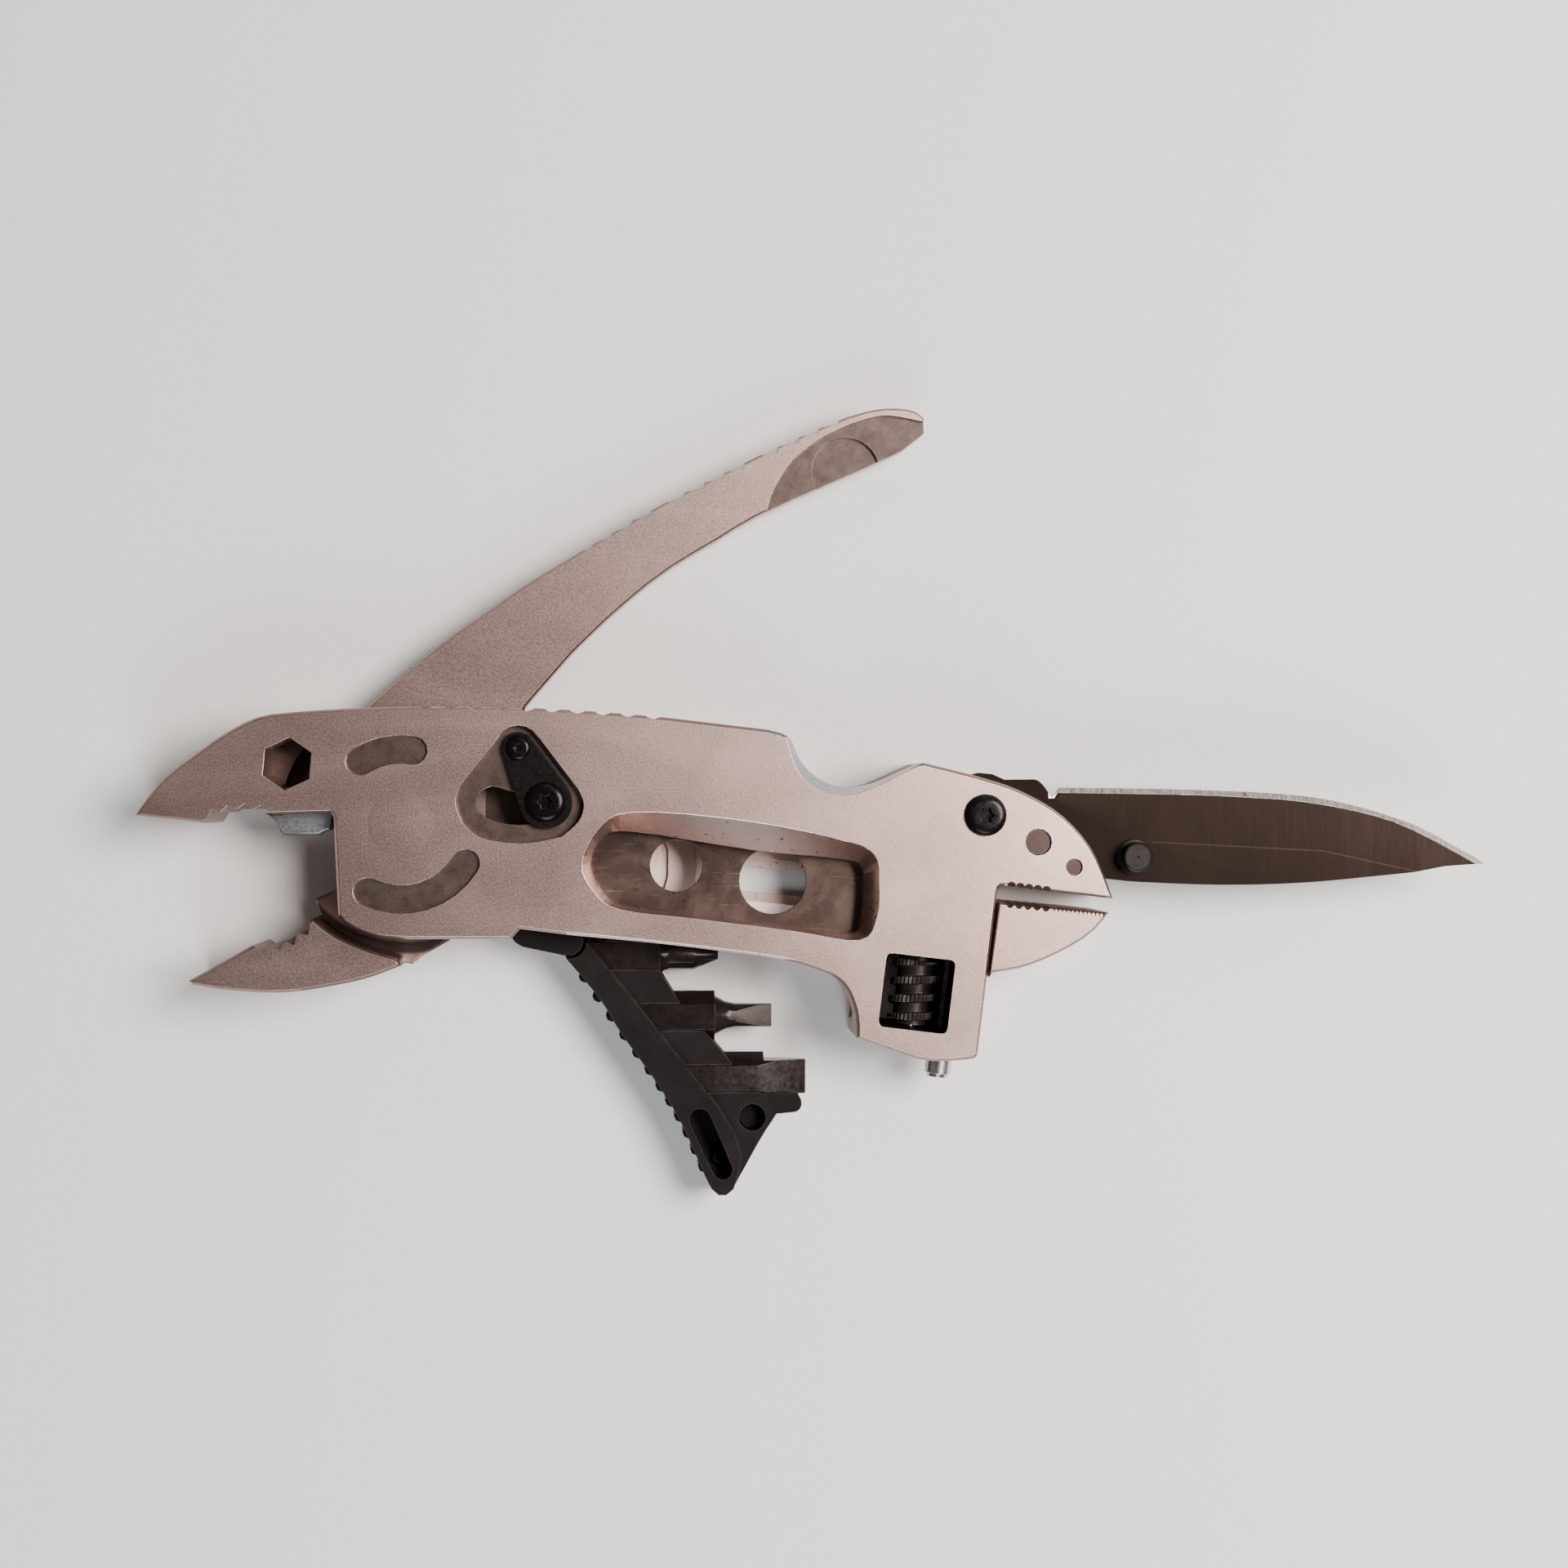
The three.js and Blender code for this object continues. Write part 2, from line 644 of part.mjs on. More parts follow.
const movingJaw = outline(
  [-29.8, -22.2],
  { curve: [[-25.5, -19.8], [-21.2, -17.4]] },
  [-12.4, -13.4],
  { curve: [[-9.1, -15.9], [-4.5, -17.9], [-0.8, -19.0]] },
  { round: [0, -19.4, 0, -20.2] },
  { curve: [[-4.6, -21.9], [-9.1, -22.9], [-14.9, -23.8], [-19.5, -23.9], [-25.3, -23.4], [-29.2, -22.7]] },
);

// Handle, hub and the plate that carries the moving jaw.
const leverPlate = outline(
  [-5.3, 17.2],
  { curve: [[0.3, 22.1], [5.0, 26.1], [10.9, 30.3], [18.0, 35.2], [25.7, 39.9]] },
  { curve: [[35.2, 45.6], [46.0, 51.2], [56.0, 56.1], [64.2, 59.6]] },
  { curve: [[67.6, 60.6], [70.6, 61.0], [74.0, 60.7], [75.6, 59.6]] },
  [75.7, 57.4],
  [72.4, 54.8],
  { curve: [[68.6, 53.0], [52.4, 45.7], [45.4, 41.6], [37.3, 36.6], [29.9, 30.5], [24.0, 24.8]] },
  [17.2, 17.0],
  { curve: [[14.4, 10.5], [13.9, 4.0], [13.6, -3.0], [12.2, -9.5], [9.5, -14.0], [6.2, -17.1]] },
  [2.2, -19.4],
  [0.9, -20.5],
  [-4, -19.5],
  [-12.0, -16.2],
  [-13.6, -14.2],
  [-12.3, -13.3],
  [-13.1, -11.0],
  [-10.3, -9.7],
  { curve: [[-8.4, -6.0], [-8.0, 0], [-9.2, 6.0], [-9.6, 11.5], [-5.3, 17.2]] },
);

// Three groups of four thumb steps along the outer edge of the handle.
function thumbSteps() {
  const from = new THREE.Vector2(25.6, 39.9);
  const to = new THREE.Vector2(64.2, 59.7);
  const lean = to.clone().sub(from).angle();
  const pitch = 3.3;
  const cuts = [];
  for (let group = 0; group < 3; group++) {
    for (let i = 0; i < 4; i++) {
      const s = 1.2 + group * 15.4 + i * pitch;
      const bulge = 0.55 * Math.sin((Math.PI * s) / 43.4);
      const step = new THREE.Shape([
        new THREE.Vector2(s - 2.4, 0.9),
        new THREE.Vector2(s - 2.4, 0.15),
        new THREE.Vector2(s, -0.5),
        new THREE.Vector2(s + 0.7, 0.9),
      ]);
      const cut = new THREE.ExtrudeGeometry(step, { depth: 8, bevelEnabled: false });
      cut.translate(0, bulge, 2).rotateZ(lean).translate(from.x, from.y, 0);
      cuts.push(solidOf(cut));
    }
  }
  return cuts;
}

// A shallow dish at the handle's end clears the knife pivot when the handle is folded.
const handleDish = outline(
  [52.6, 44.0],
  [52.4, 45.7],
  { curve: [[53.2, 48.2], [54.4, 50.6], [56.2, 53.1], [58.6, 55.2], [61.2, 56.9], [64.6, 58.5]] },
  { curve: [[67.6, 59.5], [70.6, 59.9], [75.2, 59.1]] },
  [80, 58],
  [80, 50],
);

function plierLever() {
  const ring = ringSector(BOSS.r0, BOSS.r1, BOSS.from, BOSS.to, HANDLE_Z[0] + 1, 13.7);
  // the hub fills the round bay below the slot of the lock
  const hub = ringSector(POST_R + 2, POCKET_R - 0.3, -35, 40, ...HANDLE_Z);
  const solid = chamfered(leverPlate, ...HANDLE_Z, 0.3)
    .add(chamfered(movingJaw, 0.06, THICK - 0.06, EDGE, 3))
    .add(ring)
    .add(hub);
  return [
    prism(movingJawTeeth, -1, THICK + 1),
    ...thumbSteps(),
    prism(handleDish, 7.7, 9),
    disc([64.1, 51.7], 5.0, 7.1, 9, 28),
    disc([0, 0], POST_R + 0.12, 2, 10, 32),
  ].reduce((shape, cut) => shape.subtract(cut), solid);
}

add('plier_lever', plierLever(), STEEL);

const fixedCutter = outline(
  [-19.7, 1.45],
  [-18.1, 0.0],
  { round: [-17.7, -1.65, -17.0, -1.65] },
  [-12.1, -1.65],
  [-11.3, -1.2],
  [-10.4, -0.9],
  [-9.8, 1.4],
  [-10.6, 5.2],
  [-16.8, 5.2],
  [-17.5, 1.45],
);
add('fixed_cutter', chamfered(fixedCutter, 8.5, 12.7, 0.3), BRIGHT);

// Torsion spring round the pivot post that opens the pliers.
function returnSpring() {
  const wire = 0.5;
  const coilR = POST_R + 0.45 + wire;
  const turns = 2.6;
  const steps = 32;
  const z0 = HANDLE_Z[1] + 0.85;
  const rise = 1.15;
  const points = [new THREE.Vector3(-1.5, -11.5, z0)];
  const start = Math.atan2(-5, -4);
  for (let i = 0; i <= steps; i++) {
    const angle = start + (2 * Math.PI * turns * i) / steps;
    const z = z0 + (rise * turns * i) / steps;
    points.push(new THREE.Vector3(coilR * Math.cos(angle), coilR * Math.sin(angle), z));
  }
  points.push(new THREE.Vector3(8.7, 2.6, z0 + rise * turns));
  const section = new THREE.Shape();
  section.absarc(0, 0, wire, 0, 2 * Math.PI, false);
  const path = new THREE.CatmullRomCurve3(points);
  const options = { steps: 44, extrudePath: path, bevelEnabled: false, curveSegments: 3 };
  return solidOf(new THREE.ExtrudeGeometry(section, options));
}

add('return_spring', returnSpring(), BRIGHT);

// ---- Handle lock ----

const latchArm = prism(capsule(LATCH, 2.3, KNOB, 3.85), 14.9, 15.9, 6)
  .subtract(disc(LATCH, 1.15, 14, 17))
  .subtract(disc(KNOB, 1.6, 14, 17));
add('lock_arm', latchArm, BLACK_STEEL);
add('lock_pivot_screw', buttonScrew(LATCH, 1.75, 15.95, 0.5, 1.0, 12.9), BLACK_STEEL);
add('lock_knob_screw', buttonScrew(KNOB, 2.86, 15.95, 0.85, 1.5, 13.1), BLACK_STEEL);
const latchPawl = disc(KNOB, 2.9, 12.95, 13.7).add(disc(KNOB, 2.15, 13.6, 14.85))
  .subtract(disc(KNOB, 1.6, 12, 16));
add('lock_pawl', latchPawl, STEEL);

// ---- Knife ----

const tangTurn = (angle) => [
  KNIFE[0] + TANG_R * Math.cos(rad(angle)),
  KNIFE[1] + TANG_R * Math.sin(rad(angle)),
];
const blade = outline(
  [158.4, -6.0],
  { curve: [[153.2, -2.6], [147.5, -0.1], [137.5, 2.9], [127.6, 4.3], [110.3, 5.0], [95.1, 5.2]] },
  [93.9, 3.7],
  [93.3, 4.6],
  { round: [92.2, 6.4, 91.2, 6.4] },
  [87.0, 6.35],
  { arc: [...KNIFE, TANG_R, 56, 285] },
  [tangTurn(285)[0] + 2.5, tangTurn(285)[1] - 0.5],
  { curve: [[95.0, -7.2], [102.2, -8.2], [107.8, -8.7], [120.2, -9.1], [132.5, -8.7], [147.5, -7.3]] },
  [152.3, -6.4],
);

// A four-cornered section carried from station to station along +X.
function swept(stations) {
  const index = [];
  for (let i = 0; i + 1 < stations.length; i++) {
    for (let k = 0; k < 4; k++) {
      const a = 4 * i + k;
      const b = 4 * i + ((k + 1) % 4);
      index.push(a, b, b + 4, a, b + 4, a + 4);
    }
  }
  const end = 4 * (stations.length - 1);
  index.push(0, 2, 1, 0, 3, 2, end, end + 1, end + 2, end, end + 2, end + 3);
  return manifoldOf(stations.flat(2), index);
}

// Stations along the blade, evenly spaced: cutting edge and the line where the main grind starts.
const edgeLine = smooth(
  [[94.4, 5.3], [107.1, 5.15], [119.8, 4.8], [132.5, 3.8], [145.3, 0.8], [159.0, -6.2]],
  24,
);
const grindLine = smooth(
  [[94.4, 3.2], [107.1, -2.75], [119.8, -2.8], [132.5, -4.0], [145.3, -6.7], [159.0, -9.4]],
  24,
);
const GRIND = 0.52; // taken off each face at the edge bevel
const BEVEL = 0.85; // width of the edge bevel

// What the main grind takes off one face.
function grindStock(faceZ, way) {
  const stations = edgeLine.map(([x, y], i) => [
    [x, grindLine[i][1], faceZ],
    [x, y + 1.1, faceZ - way * GRIND * ((y + 1.1 - grindLine[i][1]) / (y - grindLine[i][1]))],
    [x, y + 1.1, faceZ + way],
    [x, grindLine[i][1], faceZ + way],
  ]);
  return swept(way > 0 ? stations : stations.map((section) => section.reverse()));
}

// What the edge bevel takes off one face.
function bevelStock(faceZ, way) {
  const from = faceZ - way * GRIND * 0.9;
  const drop = (0.64 * (BEVEL + 1.1)) / BEVEL;
  const stations = edgeLine.map(([x, y]) => [
    [x, y - BEVEL, from],
    [x, y + 1.1, from - way * drop],
    [x, y + 1.1, faceZ + way],
    [x, y - BEVEL, faceZ + way],
  ]);
  return swept(way > 0 ? stations : stations.map((section) => section.reverse()));
}

function knifeBlade() {
  const [z0, z1] = BLADE_Z;
  return prism(blade, z0, z1, 6)
    .subtract(grindStock(z1, 1))
    .subtract(grindStock(z0, -1))
    .subtract(bevelStock(z1, 1))
    .subtract(bevelStock(z0, -1))
    .subtract(disc(KNIFE, 2.4, z0 - 1, z1 + 1))
    .subtract(disc(STUD, 1.3, z0 - 1, z1 + 1, 10));
}

add('knife_blade', knifeBlade(), COATED);

const studProfile = [
  [0, 10.2], [1.2, 10.2], [1.2, 12.53], [2.75, 12.53], [2.75, 12.76], [1.7, 12.9], [1.5, 13.6],
  [2.2, 14.1], [2.2, 15.5], [1.9, 15.8], [0.18, 15.8], [0, 15.6],
];
add('thumb_stud', turned(STUD, studProfile, 32), BLACK_STEEL);

const pivotNut = disc(KNIFE, 3.0, 7.5, 8.66).add(disc(KNIFE, 2.3, 8, 14.5))
  .subtract(disc(KNIFE, 1.3, 9, 15, 10));
add('knife_pivot_nut', pivotNut, STEEL);
add('knife_pivot_screw', buttonScrew(KNIFE, 3.03, THICK + 0.05, 1.15, 1.2, 9.4), BLACK_STEEL);
const washer = (z0, z1) => disc(KNIFE, 4.6, z0, z1).subtract(disc(KNIFE, 2.4, z0 - 1, z1 + 1));
add('knife_washer_front', washer(12.55, 12.75), BRIGHT);
add('knife_washer_back', washer(9.84, 10.04), BRIGHT);

// ---- Liner ----

function linerPlate() {
  const [z0, z1] = LINER_Z;
  const gap = outline([33.7, -0.1], [60.0, -0.5], [77.4, -0.9], [77.4, 3.4], [60.0, 3.7], [33.7, 4.3]);
  return [
    ...LINER_HOLES.map(({ centre, r }) => disc(centre, r, z0 - 1, z1 + 1, 28)),
    prism(gap, z0 - 1, z1 + 1),
    disc(KNIFE, 2.4, z0 - 1, z1 + 1),
    ...LINER_PINS.map((centre) => disc(centre, 1.05, z0 - 1, z1 + 1, 10)),
  ].reduce((solid, cut) => solid.subtract(cut), prism(liner, z0, z1));
}

add('liner_plate', linerPlate(), LINER);
add('liner_lock_bar', prism(lockBar, ...LINER_Z), LINER);
LINER_PINS.forEach((centre, i) => add(`liner_pin_${i + 1}`, disc(centre, 1.0, 8.75, 12.1, 16), STEEL));

// ---- Bit holder and bits ----

const holderWebs = outline(
  [24.4, -20.6],
  [26.4, -17.2],
  [26.9, -18.0],
  [33.0, -15.4],
  [33.0, -21.4],
  [36.7, -21.4],
  [39.9, -26.5],
  [39.9, -30.3],
  [43.3, -30.3],
  [47.4, -35.2],
  [47.4, -39.2],
  [51.0, -39.0],
  { curve: [[51.8, -39.6], [52.9, -39.45], [56.6, -39.5]] },
  { round: [57.7, -40.1, 57.6, -41.3] },
  { round: [57.4, -42.3, 56.4, -42.4] },
  [53.9, -42.6],
  { curve: [[51.6, -46.2], [48.9, -51.0], [47.6, -53.4]] },
  { round: [45.9, -55.4, 44.4, -53.4] },
  { curve: [[43.2, -51.0], [39.8, -43.4], [36.0, -37.3], [31.2, -30.6], [28.6, -26.3]] },
);

const holderSpine = outline(
  [22.6, -19.0],
  [23.7, -15.4],
  [25.6, -16.6],
  [34.4, -27.4],
  [40.8, -35.7],
  [44.9, -40.8],
  { curve: [[47.6, -45.2], [48.6, -49.2], [47.6, -53.4]] },
  { round: [45.9, -55.4, 44.4, -53.4] },
  { curve: [[43.2, -51.0], [39.8, -43.4], [36.0, -37.3], [31.2, -30.6], [28.6, -26.3], [24.9, -21.6]] },
);

// Grip bumps along the outer edge of the spine.
function spineBumps() {
  const line = smooth([[25.6, -22.6], [31.0, -30.4], [36.0, -37.4], [39.8, -43.6], [43.0, -50.4]], 11);
  return line.map(([x, y]) => disc([x + 0.35, y + 0.25], 0.95, 3.2, 8.6, 8));
}

function hexBar(x0, x1, y, flats) {
  const r = flats / Math.sqrt(3);
  const geometry = new THREE.CylinderGeometry(r, r, x1 - x0, 6);
  geometry.rotateZ(Math.PI / 2).rotateX(Math.PI / 2).translate((x0 + x1) / 2, y, BIT_Z);
  return solidOf(geometry);
}

function bitHolder() {
  const ear = HOLDER_Z[0] + 1.85;
  const earTop = 6.95;
  let solid = prism(holderWebs, ...HOLDER_Z).add(prism(holderSpine, HOLDER_Z[0], SPINE_TOP));
  for (const bump of spineBumps()) solid = solid.add(bump);
  const pocket = capsule([42.7, -43.2], 1.55, [46.0, -50.6], 1.4);
  const cuts = [
    ...BIT_Y.map((y, i) => hexBar(BIT_BUTT[i] - 0.1, 70, y, BIT_AF + 0.16)),
    prism(pocket, 4.4, 12, 5),
    disc([50.3, -43.1], 1.97, 3.6, 12),
    disc(HOLDER, 2.5, 1, ear),
    disc(HOLDER, 2.5, earTop, 12),
  ];
  solid = cuts.reduce((shape, cut) => shape.subtract(cut), solid);
  solid = solid.add(disc([45.5, -49.4], 0.85, 4.0, 5.6));
  return solid.add(disc(HOLDER, 2.0, ear + 0.05, earTop - 0.05)).subtract(disc(HOLDER, 1.3, 0, 12));
}

add('bit_holder', bitHolder(), PLASTIC);
add('holder_magnet', disc([50.3, -43.1], 1.85, 3.65, 5.6), STEEL);

const baseSolid = prism(holderBase, HOLDER_Z[0], 9.7)
  .subtract(prism(outline([21.4, -20], [27, -20], [27, -14], [21.4, -14]), 3.9, 7.0))
  .subtract(disc(HOLDER, 1.25, 0, 9.2));
add('holder_base', baseSolid, PLASTIC);
add('holder_pin', disc(HOLDER, 1.18, 2.15, 9.1, 12), BRIGHT);

// A neck and tip turned about a bit's axis, from [distance along, radius] points.
function bitNose(x, y, profile) {
  const points = profile.map(([d, r]) => new THREE.Vector2(r, d));
  const geometry = new THREE.LatheGeometry(points, 12).rotateZ(-Math.PI / 2);
  return solidOf(geometry.translate(x, y, BIT_Z));
}

function box(x0, x1, y0, y1, z0, z1) {
  const geometry = new THREE.BoxGeometry(x1 - x0, y1 - y0, z1 - z0);
  return solidOf(geometry.translate((x0 + x1) / 2, (y0 + y1) / 2, (z0 + z1) / 2));
}

// Grinds both sides of a tip towards a flat blade across Y.
function groundTip(solid, x0, x1, y, startHalf, endHalf) {
  for (const way of [1, -1]) {
    const face = new THREE.Shape([
      new THREE.Vector2(x0, way * startHalf),
      new THREE.Vector2(x1, way * endHalf),
      new THREE.Vector2(x1, way * 6),
      new THREE.Vector2(x0, way * 6),
    ]);
    const geometry = new THREE.ExtrudeGeometry(face, { depth: 12, bevelEnabled: false });
    geometry.rotateX(Math.PI / 2).translate(0, y + 6, BIT_Z);
    solid = solid.subtract(solidOf(geometry));
  }
  return solid;
}

function crossBit(x, y, tip) {
  const length = tip - x;
  const shank = 10.7;
  const nose = bitNose(x, y, [
    [shank - 1, 0], [shank - 1, 3.2], [shank + 0.5, 2.5], [shank + 1.4, 2.25], [length - 3.6, 2.25],
    [length, 0.75], [length, 0],
  ]);
  return [45, 135, 225, 315].reduce((solid, turn) => {
    const flute = new THREE.BoxGeometry(6, 2.2, 2.2).rotateX(Math.PI / 4);
    flute.translate(tip + 0.4, 0, 2.45).rotateX(rad(turn)).translate(0, y, BIT_Z);
    return solid.subtract(solidOf(flute));
  }, hexBar(x, x + shank, y, BIT_AF).add(nose));
}

function slotBitSmall(x, y, tip) {
  const length = tip - x;
  const shank = 12.0;
  const nose = bitNose(x, y, [
    [shank - 1, 0], [shank - 1, 3.3], [shank + 0.4, 2.7], [shank + 1.6, 2.05], [shank + 3, 1.75],
    [length, 1.72], [length, 0],
  ]);
  return hexBar(x, x + shank, y, BIT_AF)
    .add(groundTip(nose, x + shank + 2.4, tip + 0.1, y, 1.75, 0.35));
}

function slotBitWide(x, y, tip) {
  const keep = box(x - 1, tip + 1, y - 2.5, y + 2.5, 0, 12)
    .add(box(x - 1, x + 14.2, y - 5, y + 5, 0, 12));
  return groundTip(hexBar(x, tip, y, BIT_AF).intersect(keep), x + 12.6, tip + 0.1, y, 3.3, 0.45);
}

[crossBit, slotBitSmall, slotBitWide].forEach((build, i) => {
  const name = ['bit_cross', 'bit_slot_small', 'bit_slot_wide'][i];
  add(name, build(BIT_BUTT[i], BIT_Y[i], BIT_TIP[i]), BLACK_STEEL);
});

// ---- Adjustable wrench ----

const jawFace = [85.75, -11.35];
const wrenchJawOutline = outline(
  jawFace,
  [101.6, -12.9],
  { curve: [[98.8, -16.0], [94.0, -18.8], [89.2, -20.7], [84.75, -21.5]] },
  atWorm(9.7, 3.9),
  atWorm(9.7, 14.6),
);

// Coarse teeth near the throat, fine ones towards the tip.
function jawTeeth() {
  const slope = -0.098;
  const at = (x, below) => [x, jawFace[1] + slope * (x - jawFace[0]) - below];
  const coarse = Array.from({ length: 5 }, (_, i) =>
    disc(at(87.2 + 1.3 * i, 0.2), 0.52, -1, THICK + 1, 10),
  );
  const fine = Array.from({ length: 13 }, (_, i) => {
    const x = 93.6 + 0.6 * i;
    return prism(outline(at(x - 0.29, -0.5), at(x, 0.75), at(x + 0.29, -0.5)), -1, THICK + 1);
  });
  return [...coarse, ...fine];
}

function wrenchJaw() {
  const neck = prism(wrenchBox(RACK_OFFSET + RACK_R + 0.08, 10.5, 4.2, 13.2), 6.7, 9.7);
  const solid = chamfered(wrenchJawOutline, 0.15, THICK - 0.15, 0.35).add(neck);
  return jawTeeth().reduce((shape, cut) => shape.subtract(cut), solid);
}

add('wrench_jaw', wrenchJaw(), STEEL);

// Rack rod: teeth face the worm.
function rackRod() {
  const s0 = -11.9;
  const s1 = 13.2;
  const toothDepth = 0.85;
  const notch = 1.75;
  const rodEdge = RACK_OFFSET - RACK_R;
  let rod = slideBar(RACK_OFFSET, s0 + 0.55, s1, MID, RACK_R, 24)
    .add(slideBar(RACK_OFFSET, s0, s0 + 0.6, MID, RACK_R - 0.35, 24));
  for (let s = -3 * PITCH; s < 5.5 * PITCH; s += PITCH) {
    const shape = wrenchBox(rodEdge - 1, rodEdge + toothDepth, s - notch / 2, s + notch / 2);
    rod = rod.subtract(prism(shape, MID - 3, MID + 3));
  }
  return rod;
}

add('rack_rod', rackRod(), BRIGHT);

// One helical thread on a core with plain ends.
function worm() {
  const s0 = -4.55;
  const s1 = 5.4;
  const flat = 0.5;
  const around = 18;
  const step = PITCH / 6;
  const levels = Math.round((s1 - s0) / step);
  const positions = [];
  for (let j = 0; j <= levels; j++) {
    const s = s0 + ((s1 - s0) * j) / levels;
    for (let i = 0; i < around; i++) {
      const turn = i / around;
      // 0 in the middle of the thread, 0.5 in the middle of the gap; the thread faces the
      // rack, on the +X side, at whole pitches
      const phase = s / PITCH - turn;
      const off = Math.abs(phase - Math.round(phase)) * PITCH;
      const ends = s < s0 + flat || s > s1 - flat;
      const rise = THREE.MathUtils.clamp((0.72 - off) / 0.28, 0, 1);
      const r = WORM_CORE_R + (ends ? 0 : rise * (WORM_R - WORM_CORE_R));
      const angle = 2 * Math.PI * turn;
      positions.push(r * Math.cos(angle), s, -r * Math.sin(angle));
    }
  }
  const index = [];
  for (let j = 0; j < levels; j++) {
    for (let i = 0; i < around; i++) {
      const a = j * around + i;
      const b = j * around + ((i + 1) % around);
      index.push(a, b, b + around, a, b + around, a + around);
    }
  }
  for (const [base, low] of [[0, true], [levels * around, false]]) {
    const centre = positions.length / 3;
    positions.push(0, low ? s0 : s1, 0);
    for (let i = 0; i < around; i++) {
      const [a, b] = [base + i, base + ((i + 1) % around)];
      index.push(...(low ? [centre, b, a] : [centre, a, b]));
    }
  }
  const geometry = new THREE.BufferGeometry();
  geometry.setAttribute('position', new THREE.Float32BufferAttribute(positions, 3));
  geometry.setIndex(index);
  geometry.rotateZ(-rad(TILT)).translate(...WORM, MID);
  return solidOf(geometry).subtract(slideBar(0, -12, 12, MID, 1.25, 12));
}

add('worm', worm(), BLACK_STEEL);
add('worm_axle', slideBar(0, -8.5, 9.1, MID, 1.1, 12), BRIGHT);

export default parts;
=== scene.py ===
"""Looks of the folding multi tool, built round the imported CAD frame.

Blender's lengths are metres. Places and sizes on the tool are millimetres, turned into metres by MM.
"""

import math
from functools import cached_property
from types import SimpleNamespace

import bpy
from mathutils import Matrix, Vector


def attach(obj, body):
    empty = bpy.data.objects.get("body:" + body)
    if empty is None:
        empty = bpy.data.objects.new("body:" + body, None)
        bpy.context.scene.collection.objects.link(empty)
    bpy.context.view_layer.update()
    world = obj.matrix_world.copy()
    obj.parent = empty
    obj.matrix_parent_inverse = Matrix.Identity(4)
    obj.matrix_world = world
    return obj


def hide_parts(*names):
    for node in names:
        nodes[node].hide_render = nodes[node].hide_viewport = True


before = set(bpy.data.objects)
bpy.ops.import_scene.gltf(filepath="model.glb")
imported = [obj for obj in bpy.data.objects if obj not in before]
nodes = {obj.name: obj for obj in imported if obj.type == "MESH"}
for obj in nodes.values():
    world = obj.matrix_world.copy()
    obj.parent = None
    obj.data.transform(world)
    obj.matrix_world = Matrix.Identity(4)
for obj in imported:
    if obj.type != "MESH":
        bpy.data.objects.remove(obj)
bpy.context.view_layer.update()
MM = 0.001

# Places on the tool.
PLIER_PIVOT = (0, 0)
WORM = (74.1, -24.9, 8.2)
WORM_TILT = math.radians(7)
STUD = (106.0, -4.9)

# ---- Materials ----


